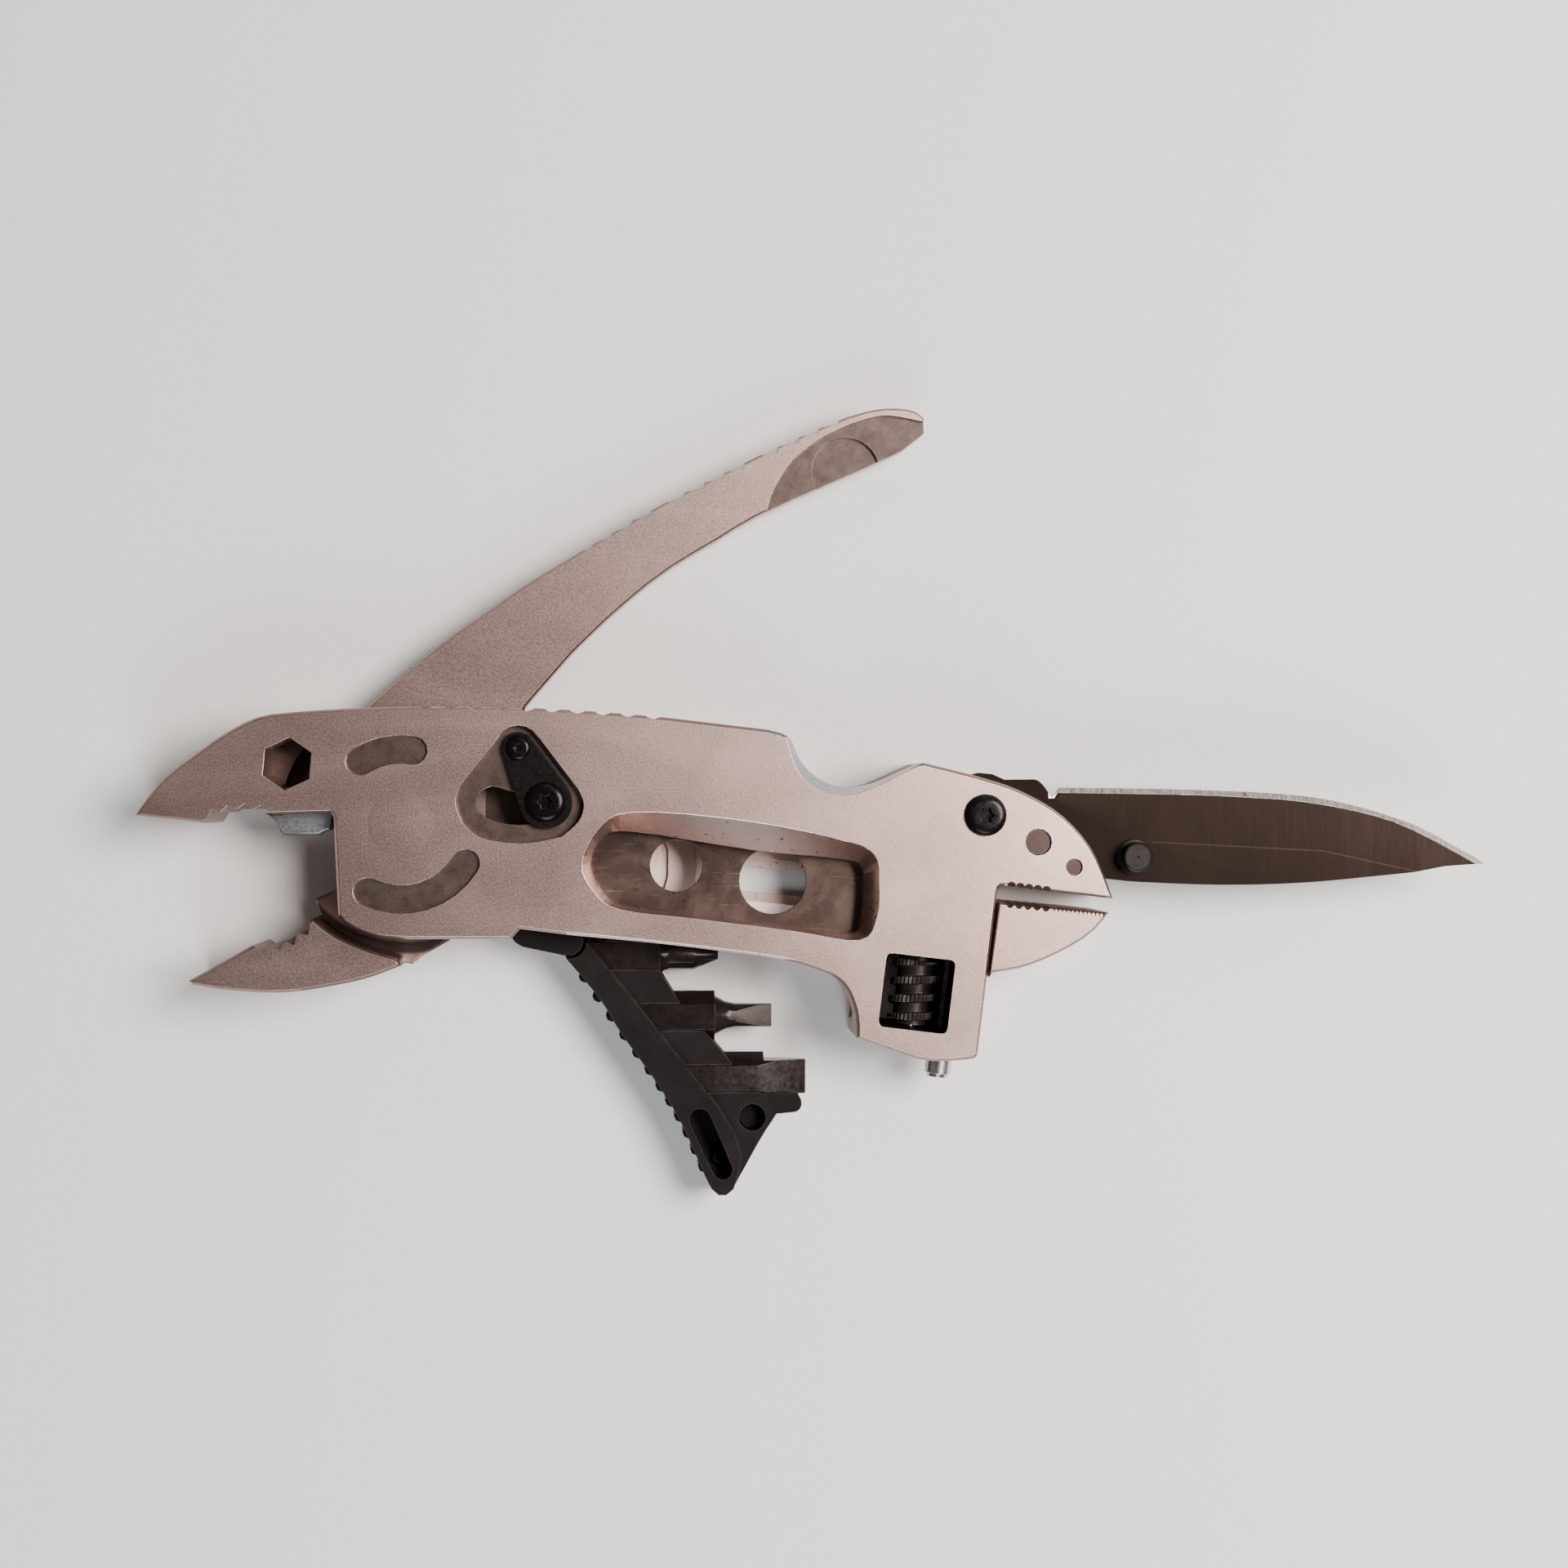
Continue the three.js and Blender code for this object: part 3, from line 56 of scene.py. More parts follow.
class Tree:
    """Builds one material's node tree."""

    def __init__(self, name):
        self.material = bpy.data.materials.new(name)
        self.material.use_nodes = True
        self.tree = self.material.node_tree
        self.tree.nodes.clear()
        self.output = self.add("ShaderNodeOutputMaterial")
        self.shader = self.add("ShaderNodeBsdfPrincipled")
        self.link(self.shader.outputs[0], self.output.inputs[0])
        self.coord = self.add("ShaderNodeTexCoord").outputs["Object"]
        self.geometry = self.add("ShaderNodeNewGeometry")

    def add(self, kind, **values):
        node = self.tree.nodes.new(kind)
        for key, value in values.items():
            setattr(node, key, value)
        return node

    def link(self, a, b):
        self.tree.links.new(a, b)

    def put(self, socket, value):
        """Links a socket to the value, or sets it to a number or colour."""
        if isinstance(value, bpy.types.NodeSocket):
            self.link(value, socket)
        elif isinstance(value, (tuple, list)) and len(value) == 3 and socket.type == "RGBA":
            socket.default_value = (*value, 1)
        else:
            socket.default_value = value

    def set(self, name, value):
        self.put(self.shader.inputs[name], value)

    def done(self, colour, rough, normal, metal=1.0, specular=None):
        """Gives the shader its values and returns the material."""
        self.set("Base Color", colour)
        self.set("Metallic", metal)
        if specular is not None:
            self.set("Specular IOR Level", specular)
        self.set("Roughness", rough)
        self.set("Normal", normal)
        return self.material

    # Numbers and masks

    def math(self, operation, a, b=0.0):
        node = self.add("ShaderNodeMath", operation=operation)
        self.put(node.inputs[0], a)
        self.put(node.inputs[1], b)
        return node.outputs[0]

    def times(self, first, *others):
        """The product of numbers or masks."""
        for other in others:
            first = self.math("MULTIPLY", first, other)
        return first

    def span(self, value, low, high, to_low=0.0, to_high=1.0):
        """The value's place between low and high, kept between the two results."""
        node = self.add("ShaderNodeMapRange")
        self.put(node.inputs[0], value)
        for i, number in enumerate((low, high, to_low, to_high)):
            node.inputs[i + 1].default_value = number
        return node.outputs[0]

    def blend(self, factor, a, b):
        node = self.add("ShaderNodeMix", data_type="FLOAT")
        self.put(node.inputs["Factor"], factor)
        self.put(node.inputs[2], a)
        self.put(node.inputs[3], b)
        return node.outputs[0]

    # Places on the surface

    def split(self, vector):
        node = self.add("ShaderNodeSeparateXYZ")
        self.put(node.inputs[0], vector)
        return node.outputs

    @cached_property
    def place(self):
        """X, y and z of the surface point."""
        return self.split(self.coord)

    @cached_property
    def up(self):
        """How far the surface faces along the object's own Z."""
        node = self.add("ShaderNodeVectorTransform", vector_type="NORMAL")
        node.convert_from, node.convert_to = "WORLD", "OBJECT"
        self.put(node.inputs[0], self.geometry.outputs["True Normal"])
        return self.split(node.outputs[0])[2]

    @cached_property
    def level(self):
        """1 where the surface is level and faces up."""
        return self.math("GREATER_THAN", self.up, 0.9)

    def within(self, length, low=None, high=None):
        """1 where a length lies above low and below high millimetres. None is no limit."""
        masks = []
        if low is not None:
            masks.append(self.math("GREATER_THAN", length, low * MM))
        if high is not None:
            masks.append(self.math("LESS_THAN", length, high * MM))
        return self.times(*masks)

    def zone(self, **limits):
        """1 inside a box given as x=(low, high), and so on for y and z."""
        masks = [self.within(self.place["xyz".index(axis)], *pair) for axis, pair in limits.items()]
        return self.times(*masks)

    def away(self, x, y):
        """Distance from the upright line through x, y."""
        off = [self.math("SUBTRACT", self.place[i], c * MM) for i, c in enumerate((x, y))]
        squares = [self.times(c, c) for c in off]
        return self.math("SQRT", self.math("ADD", *squares))

    def along(self, start, way):
        """Distance from start in the direction way, seen from above."""
        steps = [
            self.times(self.math("SUBTRACT", self.place[i], start[i] * MM), way[i]) for i in (0, 1)
        ]
        return self.math("ADD", *steps)

    def edges(self, radius):
        """1 along sharp edges, fading to 0 a radius away."""
        bevel = self.add("ShaderNodeBevel", samples=6)
        bevel.inputs["Radius"].default_value = radius * MM
        dot = self.add("ShaderNodeVectorMath", operation="DOT_PRODUCT")
        self.put(dot.inputs[0], bevel.outputs[0])
        self.put(dot.inputs[1], self.geometry.outputs["Normal"])
        return self.span(dot.outputs["Value"], 0.995, 0.86)

    # Patterns

    def noise(self, scale, detail=2.0, rough=0.5, vector=None, distortion=0.0):
        node = self.add("ShaderNodeTexNoise")
        self.put(node.inputs["Vector"], vector or self.coord)
        node.inputs["Scale"].default_value = scale
        node.inputs["Detail"].default_value = detail
        node.inputs["Roughness"].default_value = rough
        node.inputs["Distortion"].default_value = distortion
        return node.outputs[0]

    def stretched(self, x, y, z, turn=0.0):
        """The object's coordinates, scaled and turned about Z."""
        node = self.add("ShaderNodeMapping")
        self.put(node.inputs["Vector"], self.coord)
        node.inputs["Rotation"].default_value = (0, 0, turn)
        node.inputs["Scale"].default_value = (x, y, z)
        return node.outputs[0]

    def mix(self, factor, a, b):
        """A colour between a and b."""
        node = self.add("ShaderNodeMix", data_type="RGBA")
        self.put(node.inputs["Factor"], factor)
        self.put(node.inputs[6], a)
        self.put(node.inputs[7], b)
        return node.outputs[2]

    def bump(self, height, depth, strength=1.0, normal=None):
        node = self.add("ShaderNodeBump")
        node.inputs["Strength"].default_value = strength
        node.inputs["Distance"].default_value = depth * MM
        self.put(node.inputs["Height"], height)
        if normal:
            self.put(node.inputs["Normal"], normal)
        return node.outputs[0]


def blasted(t, shade):
    """The plain bead-blasted surface: softly mottled, with specks, grain and smears."""
    dark, pale = (0.385, 0.264, 0.238), (0.445, 0.31, 0.283)
    mottle = t.span(t.noise(70, 5, 0.6, distortion=0.6), 0.35, 0.68)
    colour = t.mix(mottle, [shade * c for c in dark], [shade * c for c in pale])
    specks = t.span(t.noise(1500, 2, 0.6), 0.68, 0.74, 0.0, 0.35)
    colour = t.mix(specks, colour, (0.26, 0.18, 0.155))
    grain = t.noise(3600, 3, 0.65)
    smears = t.noise(22, 3, 0.5, t.stretched(1, 2.4, 1, 0.3), 1.5)
    duller = t.times(t.span(smears, 0.42, 0.72), 0.05)
    rough = t.math("ADD", t.span(grain, 0.3, 0.7, 0.29, 0.4), duller)
    relief = t.bump(t.noise(500, 3, 0.6), 0.02, 0.5, t.bump(grain, 0.012, 0.8))
    return SimpleNamespace(colour=colour, rough=rough, metal=1.0, relief=relief)


def add_floor_shade(t, look, heights):
    """Level faces in each (low, high) pair of heights, the recess floors, are darkened with painted
    shade, mottled, and made rougher.
    """
    floor_mottle = t.span(t.noise(420, 4, 0.7), 0.3, 0.7)
    floor_shade = t.mix(floor_mottle, (0.062, 0.044, 0.038), (0.11, 0.08, 0.07))
    for pair in heights:
        floor_face = t.times(t.zone(z=pair), t.level)
        look.colour = t.mix(floor_face, look.colour, floor_shade)
        look.rough = t.math("ADD", look.rough, t.times(floor_face, 0.12))


def add_floor_light(t, look, heights):
    """The deepest floor is painted pale and the brightest, as painted light, and made less metallic."""
    floor_face = t.times(t.zone(z=heights), t.math("GREATER_THAN", t.up, 0.3))
    look.colour = t.mix(floor_face, look.colour, (0.86, 0.66, 0.58))
    look.rough = t.blend(floor_face, look.rough, 0.5)
    look.metal = t.blend(floor_face, 1.0, 0.3)


def add_groove_shade(t, look, inner, outer, highest):
    """A dark band about the plier pivot, on the jaws' side: painted shade in the groove between the
    moving jaw and the casing.
    """
    fade, jaws_side = 0.5, -8
    reach = t.away(*PLIER_PIVOT)
    ring = t.times(
        t.span(reach, inner * MM, (inner + fade) * MM),
        t.span(reach, outer * MM, (outer - fade) * MM),
    )
    band = t.times(ring, t.zone(y=(None, jaws_side), z=(None, highest)))
    look.colour = t.mix(t.times(band, 0.85), look.colour, (0.03, 0.021, 0.019))


def add_slot_shade(t, look, box):
    """Level faces in a box, under the slot by the knob, are painted dark brown: painted shade."""
    look.colour = t.mix(t.times(t.level, t.zone(**box)), look.colour, (0.12, 0.083, 0.07))


def add_wall_shade(t, look, x, y, reach):
    """The steep walls of the window about x, y are painted black: painted shade."""
    steep = t.math("LESS_THAN", t.up, 0.5)
    walls = t.times(t.within(t.away(x, y), high=reach), steep)
    look.colour = t.mix(walls, look.colour, (0.012, 0.009, 0.008))
    look.rough = t.blend(walls, look.rough, 0.5)


def add_jaw_shade(t, look):
    """Edges behind the moving jaw, darkened with painted shade."""
    edges_only = t.math("LESS_THAN", t.up, 0.97)
    back = t.times(t.zone(x=(-14, 1), y=(None, -10)), edges_only)
    look.colour = t.mix(t.times(back, 0.4), look.colour, (0.05, 0.036, 0.032))


def add_polished_lit_slopes(t, look):
    """Polished slopes with small pits round the window and the finger notch, with painted light: pale on
    the window's slopes, a darker blue-grey on the finger notch's.
    """
    sloping = t.times(t.span(t.up, 0.12, 0.2), t.span(t.up, 0.97, 0.9))
    window_end = t.zone(x=(23.5, 26.4), y=(None, -4.5))
    openings = t.math("MAXIMUM", t.zone(x=(26.3, 77)), window_end)
    slopes = t.times(sloping, openings, t.zone(y=(-19.5, 13.5)))
    finger_notch = t.zone(y=(3, None))
    # painted light: a pale painted highlight on the window's slopes, a blue-grey painted reflection on
    # the finger notch's
    steel = t.mix(finger_notch, (0.86, 0.68, 0.62), (0.34, 0.35, 0.38))
    pits = t.span(t.noise(1100, 3, 0.7), 0.62, 0.68)
    look.colour = t.mix(slopes, look.colour, t.mix(pits, steel, (0.12, 0.085, 0.075)))
    look.rough = t.blend(slopes, look.rough, t.blend(pits, 0.28, 0.55))


def add_rubbed_edge_highlights(t, look):
    """Edges rubbed lighter, unevenly: wear, together with a painted highlight."""
    worn = t.times(t.edges(0.25), t.span(t.noise(260, 3), 0.3, 0.6))
    look.colour = t.mix(t.times(worn, 0.25), look.colour, (0.6, 0.5, 0.46))
    look.rough = t.blend(worn, look.rough, 0.33)


def cast_steel(
    name,
    shade=1.0,
    floors=(),
    lit_floor=None,
    groove_shade=None,
    slot_shade=None,
    walls=None,
    jaw_shade=False,
    flared=False,
):
    """Bead-blasted stainless steel, polished and painted with shade and light in its own places.

    floors is a list of (low, high) heights of recesses with painted shade on their floors, and
    lit_floor is that of a floor painted bright as painted light. groove_shade is (inner radius,
    outer radius, highest) of a band of painted shade. slot_shade is a box as Tree.zone takes it,
    of level faces with painted shade. walls is (x, y, reach) of a window whose walls are painted
    black as painted shade.
    """
    t = Tree(name)
    look = blasted(t, shade)
    if floors:
        add_floor_shade(t, look, floors)
    if lit_floor:
        add_floor_light(t, look, lit_floor)
    if groove_shade:
        add_groove_shade(t, look, *groove_shade)
    if slot_shade:
        add_slot_shade(t, look, slot_shade)
    if walls:
        add_wall_shade(t, look, *walls)
    if jaw_shade:
        add_jaw_shade(t, look)
    if flared:
        add_polished_lit_slopes(t, look)
    add_rubbed_edge_highlights(t, look)
    return t.done(look.colour, look.rough, look.relief, look.metal)


def sheet_steel(name):
    """Rolled sheet, stained, with scattered scratches and pits."""
    t = Tree(name)
    cloud = t.span(t.noise(90, 5, 0.6, distortion=0.8), 0.35, 0.68)
    stain = t.span(t.noise(260, 5, 0.65, distortion=1.2), 0.5, 0.72)
    colour = t.mix(cloud, (0.088, 0.058, 0.048), (0.118, 0.081, 0.069))
    colour = t.mix(t.times(stain, 0.5), colour, (0.036, 0.025, 0.021))
    marks = 0.0
    for turn in (0.35, -0.5, 1.1, 0.05):
        fine = t.noise(1.0, 2, 0.5, t.stretched(110, 2600, 900, turn), 0.2)
        marks = t.math("MAXIMUM", t.span(fine, 0.7, 0.76), marks)
    colour = t.mix(t.times(marks, 0.6), colour, (0.25, 0.2, 0.18))
    pits = t.span(t.noise(1300, 2, 0.6), 0.7, 0.74)
    colour = t.mix(pits, colour, (0.02, 0.014, 0.012))
    rough = t.span(t.math("ADD", cloud, stain), 0.3, 1.5, 0.3, 0.48)
    relief = t.bump(t.math("SUBTRACT", t.noise(900, 3), marks), 0.008, 0.6)
    return t.done(colour, rough, relief)


def draw_lines(t):
    """Fine lines along a drawn bar, as a pattern."""
    return t.noise(1.0, 3, 0.6, t.stretched(3000, 300, 3000, 0.12))


def bright_steel(name):
    """Drawn bar, bright all over, with a painted highlight along its edges."""
    t = Tree(name)
    lines = draw_lines(t)
    dark, pale, edge = (0.5, 0.47, 0.46), (0.68, 0.64, 0.62), (0.85, 0.8, 0.775)
    # the edges get a painted highlight
    colour = t.mix(t.edges(0.15), t.mix(t.span(lines, 0.3, 0.7), dark, pale), edge)
    return t.done(colour, t.span(lines, 0.3, 0.7, 0.18, 0.34), t.bump(lines, 0.004, 0.5))


def rack_steel(name):
    """Bright at the end that shows below the casing; along the teeth, inside the casing, dark with
    painted shade and an oiled film.
    """
    t = Tree(name)
    lines = draw_lines(t)
    bright = t.mix(t.span(lines, 0.3, 0.7), (0.5, 0.47, 0.46), (0.7, 0.66, 0.64))
    film = t.span(t.noise(500, 3, 0.6), 0.35, 0.65)
    # painted shade inside the casing, mottled like an oiled film
    oil_and_shade = t.mix(film, (0.035, 0.027, 0.024), (0.12, 0.098, 0.088))
    past_worm = t.along(WORM, (math.sin(WORM_TILT), math.cos(WORM_TILT)))
    oily_and_shaded = t.span(past_worm, -9.4 * MM, -8.6 * MM)
    rough = t.blend(oily_and_shaded, t.span(lines, 0.3, 0.7, 0.18, 0.32), 0.4)
    return t.done(t.mix(oily_and_shaded, bright, oil_and_shade), rough, t.bump(lines, 0.004, 0.5))


def cutter_steel(name):
    """Plain hardened cutter, cool grey, with a painted highlight along its edges."""
    t = Tree(name)
    cloud = t.span(t.noise(260, 4, 0.6), 0.3, 0.7)
    colour = t.mix(cloud, (0.2, 0.21, 0.215), (0.27, 0.275, 0.275))
    # the edges get a painted highlight
    colour = t.mix(t.edges(0.15), colour, (0.5, 0.5, 0.5))
    rough = t.span(t.noise(2200, 3), 0.3, 0.7, 0.36, 0.5)
    return t.done(colour, rough, t.bump(t.noise(1800, 3), 0.006, 0.6))


def black_oxide(name, rough, edge=(0.12, 0.1, 0.09), base=(0.0035, 0.0026, 0.0026), dusty=0.25):
    """Blackened steel whose edges have rubbed lighter."""
    t = Tree(name)
    cloud = t.span(t.noise(300, 4, 0.6), 0.3, 0.7)
    colour = t.mix(cloud, base, [2 * c for c in base])
    dust = t.span(t.noise(2600, 2, 0.5), 0.7, 0.76)
    colour = t.mix(t.times(dust, dusty), colour, (0.06, 0.05, 0.046))
    worn = t.times(t.edges(0.14), t.span(t.noise(700, 3), 0.35, 0.65))
    colour = t.mix(worn, colour, edge)
    rough = t.span(t.noise(1500, 3, 0.6), 0.3, 0.7, rough - 0.05, rough + 0.1)
    relief = t.bump(t.noise(2400, 3, 0.6), 0.006, 0.6)
    return t.done(colour, rough, relief, metal=0.4, specular=0.2)


def blade_coat(name):
    """Dark brown-black coating, ground through to bright steel along the cutting edge."""
    t = Tree(name)
    streak = t.noise(1.0, 3, 0.6, t.stretched(4200, 160, 1500, 0.03))
    cloud = t.span(t.noise(60, 4, 0.6, distortion=0.8), 0.35, 0.65)
    coat = t.mix(cloud, (0.0066, 0.0038, 0.0029), (0.008, 0.0046, 0.0035))
    coat = t.mix(t.span(streak, 0.6, 0.75, 0, 0.15), coat, (0.016, 0.011, 0.009))
    # the crease where the main grind starts catches the light
    flat = t.math("GREATER_THAN", t.up, 0.95)
    crease = t.times(t.zone(x=(108.8, None), z=(12.484, 12.496)), flat)
    coat = t.mix(t.times(crease, 0.25), coat, (0.04, 0.029, 0.025))
    rubbed = t.times(t.edges(0.12), t.span(t.noise(500, 3), 0.4, 0.7, 0, 0.5))
    coat = t.mix(rubbed, coat, (0.06, 0.043, 0.036))
    # the cutting edge's slopes are ground bright, forward of the blade's shoulder
    tilt = t.math("ABSOLUTE", t.up)
    ground = t.times(t.span(tilt, 0.93, 0.9), t.span(tilt, 0.3, 0.4), t.zone(x=(94.5, None)))
    # and so is the notch behind the edge, in a band along its slope
    notch_start, across_slope = (93.9, 3.7), (0.78, -0.625)
    band = t.within(t.along(notch_start, across_slope), -0.8, 0.3)
    notch = t.times(band, t.zone(x=(93.4, 95.6), y=(3.6, None)))
    ground = t.math("MAXIMUM", ground, notch)
    marks = t.noise(1.0, 4, 0.75, t.stretched(3800, 700, 700, 0.1))
    fresh = t.mix(t.span(marks, 0.32, 0.62), (0.4, 0.36, 0.34), (0.92, 0.86, 0.82))
    coat_rough = t.span(streak, 0.3, 0.7, 0.39, 0.46)
    rough = t.blend(ground, coat_rough, t.span(marks, 0.3, 0.7, 0.25, 0.5))
    relief = t.bump(t.times(marks, ground), 0.02, 0.8, t.bump(streak, 0.004, 0.6))
    return t.done(t.mix(ground, coat, fresh), rough, relief, metal=0.92, specular=0.3)


def nylon(name):
    """Moulded glass-filled nylon, paler where it is handled."""
    t = Tree(name)
    grain = t.noise(2600, 4, 0.65)
    cloud = t.span(t.noise(180, 4, 0.6), 0.35, 0.7)
    colour = t.mix(cloud, (0.0042, 0.0028, 0.0027), (0.0094, 0.0066, 0.0065))
    worn = t.times(t.edges(0.35), t.span(t.noise(500, 3), 0.3, 0.65))
    colour = t.mix(t.times(worn, 0.6), colour, (0.06, 0.055, 0.055))
    rough = t.span(grain, 0.3, 0.7, 0.44, 0.6)
    return t.done(colour, rough, t.bump(grain, 0.02, 0.7), metal=0.0, specular=0.11)


WORM_WINDOW = (WORM[0], WORM[1], 7.5)
# Painted shade on the recess floors and window walls, painted light on the polished slopes.
CAST_FRONT = cast_steel("cast_front", floors=[(14.6, 16.2), (9, 13.9)], walls=WORM_WINDOW, flared=True)
CAST = cast_steel("cast")
# The cast steel at a tenth of its brightness: painted shade on the nose plugs and the knife's pivot nut,
# which sit in recesses.
CAST_DARK = cast_steel("cast_dark", shade=0.11)
# Painted shade on the recess floors, in a band in the groove by the moving jaw, on the level faces under
# the slot and on the edges behind the moving jaw.
CAST_LEVER = cast_steel(
    "cast_lever",
    shade=0.92,
    floors=[(5.5, 8.2)],
    groove_shade=(16.9, 19.2, 8.45),
    slot_shade={"x": (11.5, 21.0), "y": (-3.0, 7.5), "z": (8.2, 8.6)},
    jaw_shade=True,
)
# Painted shade on the recess floors and window walls, painted light on the polished slopes and the
# deepest floor.
CAST_BACK = cast_steel("cast_back", floors=[(2.5, 8.3)], lit_floor=(0.4, 2.3), walls=WORM_WINDOW, flared=True)
SHEET = sheet_steel("sheet")
BRIGHT = bright_steel("bright")
RACK = rack_steel("rack")
CUTTER = cutter_steel("cutter")
BLACK = black_oxide("black_oxide", 0.22)
BLACK_SATIN = black_oxide("black_satin", 0.34)
WORM_BLACK = black_oxide("worm_black", 0.36, edge=(0.2, 0.16, 0.14), base=(0.016, 0.0125, 0.0115))
BIT_BLACK = black_oxide(
    "bit_black", 0.2, edge=(0.1, 0.09, 0.085), base=(0.0125, 0.0085, 0.008), dusty=0.0
)
STUD_BLACK = black_oxide(
    "stud_black", 0.4, edge=(0.08, 0.058, 0.05), base=(0.0062, 0.0043, 0.0036), dusty=0.1
)
COAT = blade_coat("blade_coat")
NYLON = nylon("nylon")

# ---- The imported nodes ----


def weight_normals(o, keep_sharp):
    normals = o.modifiers.new("normals", "WEIGHTED_NORMAL")
    normals.weight = 60
    normals.keep_sharp = keep_sharp


def dress(o, material, edge_width):
    """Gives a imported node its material, smooth faces and small rounded edges."""
    o.data.materials.clear()
    o.data.materials.append(material)
    for polygon in o.data.polygons:
        polygon.use_smooth = True
    weld = o.modifiers.new("weld", "WELD")
    weld.merge_threshold = 0.001 * MM
    flat = o.modifiers.new("flat", "DECIMATE")
    flat.decimate_type = "DISSOLVE"
    flat.angle_limit = math.radians(0.6)
    if edge_width:
        bevel = o.modifiers.new("bevel", "BEVEL")
        bevel.width = edge_width * MM
        bevel.segments = 2
        bevel.limit_method = "ANGLE"
        bevel.angle_limit = math.radians(30)
        bevel.use_clamp_overlap = False
        bevel.harden_normals = False
    weight_normals(o, keep_sharp=False)


# Each node's material and the width of its rounded edges.
FINISHES = {
    "front_half": (CAST_FRONT, 0.08),
    "back_half": (CAST_BACK, 0.06),
    "nose_plug_large": (CAST_DARK, 0.05),
    "nose_plug_small": (CAST_DARK, 0.05),
    "plier_pivot_post": (CAST, 0.03),
    "plier_lever": (CAST_LEVER, 0.04),
    "fixed_cutter": (CUTTER, 0.08),
    "return_spring": (BRIGHT, 0),
    "lock_arm": (BLACK_SATIN, 0.12),
    "lock_pivot_screw": (BLACK, 0.05),
    "lock_knob_screw": (BLACK, 0.05),
    "lock_pawl": (CAST, 0.05),
    "knife_blade": (COAT, 0.04),
    "thumb_stud": (BLACK, 0.05),
    "knife_pivot_nut": (CAST_DARK, 0.05),
    "knife_pivot_screw": (BLACK, 0.05),
    "knife_washer_front": (BRIGHT, 0),
    "knife_washer_back": (BRIGHT, 0),
    "liner_plate": (SHEET, 0.06),
    "liner_lock_bar": (SHEET, 0.06),
    "liner_pin_1": (CAST, 0.05),
    "liner_pin_2": (CAST, 0.05),
    "bit_holder": (NYLON, 0.04),
    "holder_magnet": (BLACK_SATIN, 0.05),
    "holder_base": (NYLON, 0.12),
    "holder_pin": (BLACK_SATIN, 0.05),
    "bit_cross": (BIT_BLACK, 0.06),
    "bit_slot_small": (BIT_BLACK, 0.06),
    "bit_slot_wide": (BIT_BLACK, 0.06),
    "wrench_jaw": (CAST, 0.015),
    "rack_rod": (RACK, 0.05),
    "worm": (WORM_BLACK, 0),
    "worm_axle": (BRIGHT, 0.05),
    "case_screw_1": (BLACK, 0.05),
    "case_screw_2": (BLACK, 0.05),
    "case_screw_3": (BLACK, 0.05),
}
for node_name, (finish, edge_width) in FINISHES.items():
    dress(nodes[node_name], finish, edge_width)

# ---- Pieces with finer shapes than their CAD nodes ----


def shaped(name, points, faces, material, body, slot, *replaced):
    """A mesh that stands for CAD nodes and rides with a body."""
    mesh = bpy.data.meshes.new(name)
    mesh.from_pydata([Vector(p) * MM for p in points], [], faces)
    mesh.materials.append(material)
    for polygon in mesh.polygons:
        polygon.use_smooth = True
    mesh.set_sharp_from_angle(angle=math.radians(30))
    o = bpy.data.objects.new(name, mesh)
    bpy.context.scene.collection.objects.link(o)
    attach(o, body)
    if replaced:
        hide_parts(*replaced)
    return o


def lathed(profile, centre, segments=64):
    """Points and faces of a profile [(radius, z), ...] that starts and ends on the axis."""
    rings = profile[1:-1]
    points, faces = [(*centre, profile[0][1])], []
    for radius, z in rings:
        for i in range(segments):
            turn = 2 * math.pi * i / segments
            x, y = radius * math.cos(turn), radius * math.sin(turn)
            points.append((centre[0] + x, centre[1] + y, z))
    points.append((*centre, profile[-1][1]))
    first, last = 1, 1 + (len(rings) - 1) * segments
    for i in range(segments):
        j = (i + 1) % segments
        faces.append((0, first + j, first + i))
        for a in range(first, last, segments):
            b = a + segments
            faces.append((a + i, a + j, b + j, b + i))
        faces.append((len(points) - 1, last + i, last + j))
    return points, faces


# Thumb stud: a flange on the blade, a neck, and a cap with a rim and a fine centre mark.
STUD_FLANGE = [(0, 10.2), (1.2, 10.2), (1.2, 12.53), (2.58, 12.53), (2.6, 12.66), (2.5, 12.76)]
STUD_NECK = [(1.75, 12.86), (1.55, 13.1), (1.5, 13.55), (1.7, 13.85)]
STUD_CAP = [(2.16, 14.1), (2.18, 15.4), (2.08, 15.62), (1.88, 15.74), (1.8, 15.66)]
STUD_MARK = [(0.2, 15.66), (0.14, 15.6), (0, 15.52)]
stud_points, stud_faces = lathed(STUD_FLANGE + STUD_NECK + STUD_CAP + STUD_MARK, STUD)
stud = shaped(
    "thumb_stud_turned", stud_points, stud_faces, STUD_BLACK, "knife", "black_steel", "thumb_stud"
)
stud_edges = stud.modifiers.new("bevel", "BEVEL")
stud_edges.width = 0.03 * MM
stud_edges.segments = 2
stud_edges.limit_method = "ANGLE"
stud_edges.angle_limit = math.radians(28)
weight_normals(stud, keep_sharp=True)

# Worm: one helical thread whose crest is cut into ridges for the thumb.
PITCH = 2.7
WORM_LOW, WORM_HIGH = -4.53, 5.38
PLAIN_END = 0.5
CORE_RADIUS, BORE_RADIUS = 2.7, 1.27
CREST_HALF, FLANK = 0.5, 0.16
THREAD_DEPTH, RIDGE_DEPTH, RIDGES = 0.68, 0.22, 36
AROUND, ALONG = 216, 100


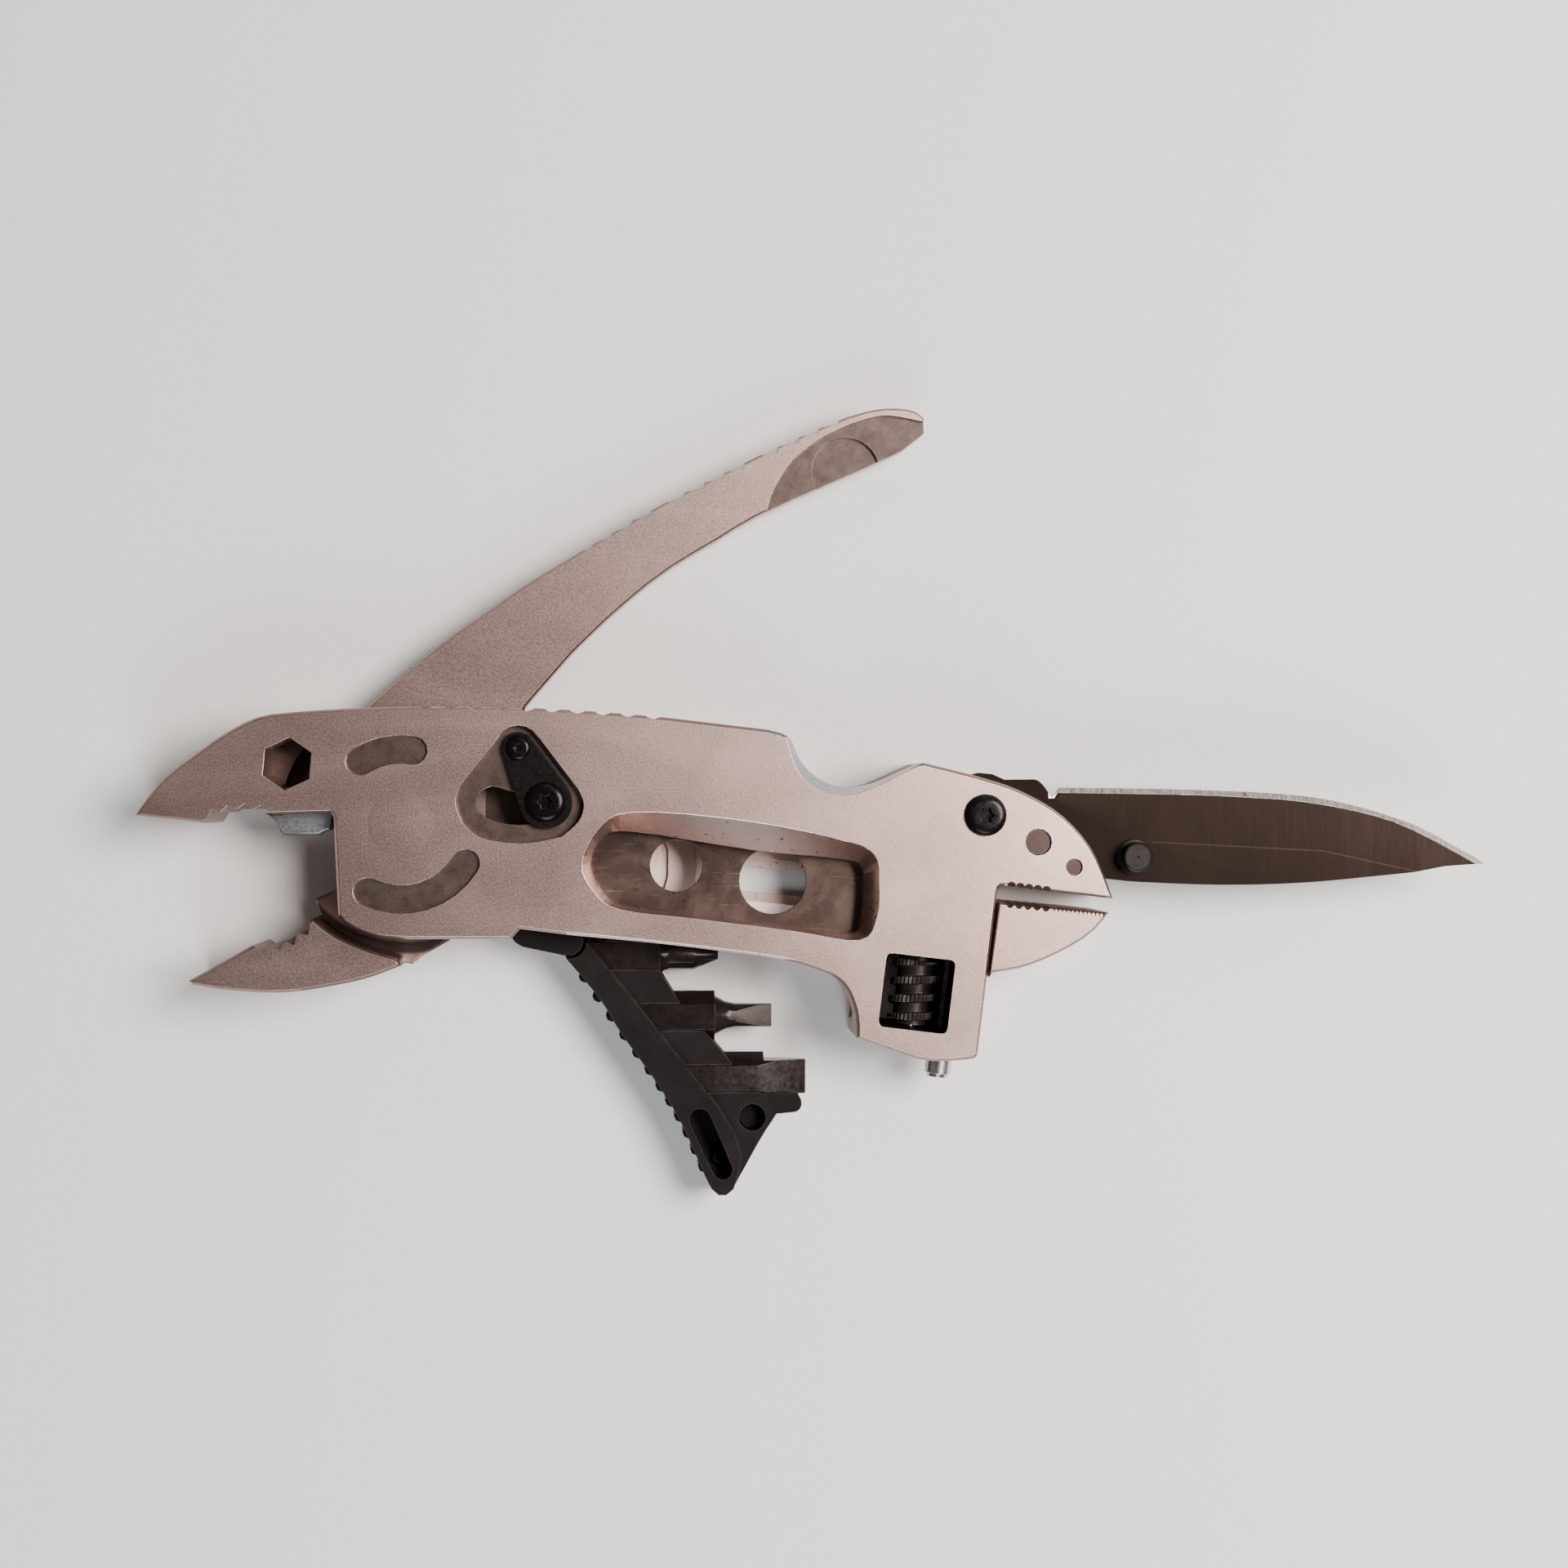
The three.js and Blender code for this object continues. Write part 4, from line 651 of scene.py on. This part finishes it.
def worm_radius(turn, s):
    """Radius at a part of a turn, s along the axis from the worm's middle."""
    if s < WORM_LOW + PLAIN_END or s > WORM_HIGH - PLAIN_END:
        return CORE_RADIUS
    phase = s / PITCH - turn
    off = abs(phase - round(phase)) * PITCH
    rise = min(1.0, max(0.0, (CREST_HALF + FLANK - off) / FLANK))
    ridge = 0.5 + 0.5 * math.cos(2 * math.pi * RIDGES * turn)
    return CORE_RADIUS + rise * (THREAD_DEPTH + RIDGE_DEPTH * ridge)


def worm_point(radius, turn, s):
    x, z = radius * math.cos(2 * math.pi * turn), -radius * math.sin(2 * math.pi * turn)
    c, w = math.cos(WORM_TILT), math.sin(WORM_TILT)
    return (WORM[0] + x * c + s * w, WORM[1] - x * w + s * c, WORM[2] + z)


worm_points, worm_faces = [], []
for k in range(ALONG + 1):
    s = WORM_LOW + (WORM_HIGH - WORM_LOW) * k / ALONG
    for i in range(AROUND):
        worm_points.append(worm_point(worm_radius(i / AROUND, s), i / AROUND, s))
for s in (WORM_LOW, WORM_HIGH):
    for i in range(AROUND):
        worm_points.append(worm_point(BORE_RADIUS, i / AROUND, s))
top = ALONG * AROUND
low_bore, high_bore = top + AROUND, top + 2 * AROUND
for i in range(AROUND):
    j = (i + 1) % AROUND
    for a in range(0, top, AROUND):
        b = a + AROUND
        worm_faces.append((a + i, a + j, b + j, b + i))
    worm_faces.append((low_bore + i, low_bore + j, j, i))
    worm_faces.append((top + i, top + j, high_bore + j, high_bore + i))
    worm_faces.append((high_bore + i, high_bore + j, low_bore + j, low_bore + i))
shaped("worm_knurled", worm_points, worm_faces, WORM_BLACK, "worm", "black_steel", "worm")

# The plier rivet is ground flush, so that its round edge hardly shows.
RIVET_FACE = [(0, 16.1), (4.2, 16.1), (4.2, 16.38), (4.6, 16.4012), (4.25, 16.411), (0, 16.412)]
rivet_points, rivet_faces = lathed(RIVET_FACE, PLIER_PIVOT, 96)
shaped("rivet_face", rivet_points, rivet_faces, CAST, "frame", "cast_steel")

# ---- Stage, in metres ----

FLOOR_HALF = 3.0
FLOOR_GAP = 0.00002
CENTRE = (0.06, 0.0, 0.0)

floor_mesh = bpy.data.meshes.new("floor")
corners = [(x * FLOOR_HALF, y * FLOOR_HALF, 0) for x, y in ((-1, -1), (1, -1), (1, 1), (-1, 1))]
floor_mesh.from_pydata(corners, [], [(0, 1, 2, 3)])
floor = bpy.data.objects.new("floor", floor_mesh)
floor.location = (CENTRE[0], CENTRE[1], -FLOOR_GAP)
bpy.context.scene.collection.objects.link(floor)
floor_tree = Tree("pale_floor")
floor_tree.set("Base Color", (0.78, 0.765, 0.75))
floor_tree.set("Roughness", 0.75)
floor_mesh.materials.append(floor_tree.material)


def area_light(name, place, aim, size, power, colour):
    """A round soft light at a place, pointed at aim."""
    data = bpy.data.lights.new(name, "AREA")
    data.shape = "DISK"
    data.size = size
    data.energy = power
    data.color = colour
    o = bpy.data.objects.new(name, data)
    o.location = place
    way = Vector(aim) - Vector(place)
    o.rotation_mode = "QUATERNION"
    o.rotation_quaternion = way.to_track_quat("-Z", "Y")
    bpy.context.scene.collection.objects.link(o)


area_light("key", (0.44, 0.12, 0.66), (0.1, 0.0, 0.0), 0.4, 12.5, (1.0, 0.94, 0.9))
area_light("far_fill", (0.1, 0.6, 0.55), CENTRE, 0.4, 0.6, (1.0, 0.97, 0.95))
area_light("near_fill", (0.08, -0.5, 0.42), (0.09, 0.0, 0.0), 0.35, 3.0, (0.92, 0.96, 1.0))
area_light("left_fill", (-0.55, -0.05, 0.5), CENTRE, 0.45, 0.05, (0.95, 0.97, 1.0))

world = bpy.data.worlds.new("room")
world.use_nodes = True
background = world.node_tree.nodes["Background"]
background.inputs["Color"].default_value = (0.95, 0.93, 0.91, 1)
background.inputs["Strength"].default_value = 0.1
bpy.context.scene.world = world

# The camera looks almost straight down, as the photograph does.
camera_data = bpy.data.cameras.new("camera")
camera_data.lens = 56.0
camera_data.sensor_width = 36.0
camera_data.clip_start = 0.01
camera_data.clip_end = 20.0
camera = bpy.data.objects.new("camera", camera_data)
CAMERA_AT = Vector((34.684, 4.269, 365.4)) * MM
right = Vector((0.998384, 0.0, 0.056827))
upward = Vector((-0.000228, 0.999992, 0.004011))
ahead = Vector((0.056826, 0.004018, -0.998376))
turned = Matrix((right, upward, -ahead)).transposed().to_4x4()
camera.matrix_world = Matrix.Translation(CAMERA_AT) @ turned
bpy.context.scene.collection.objects.link(camera)
bpy.context.scene.camera = camera

bpy.context.view_layer.update()
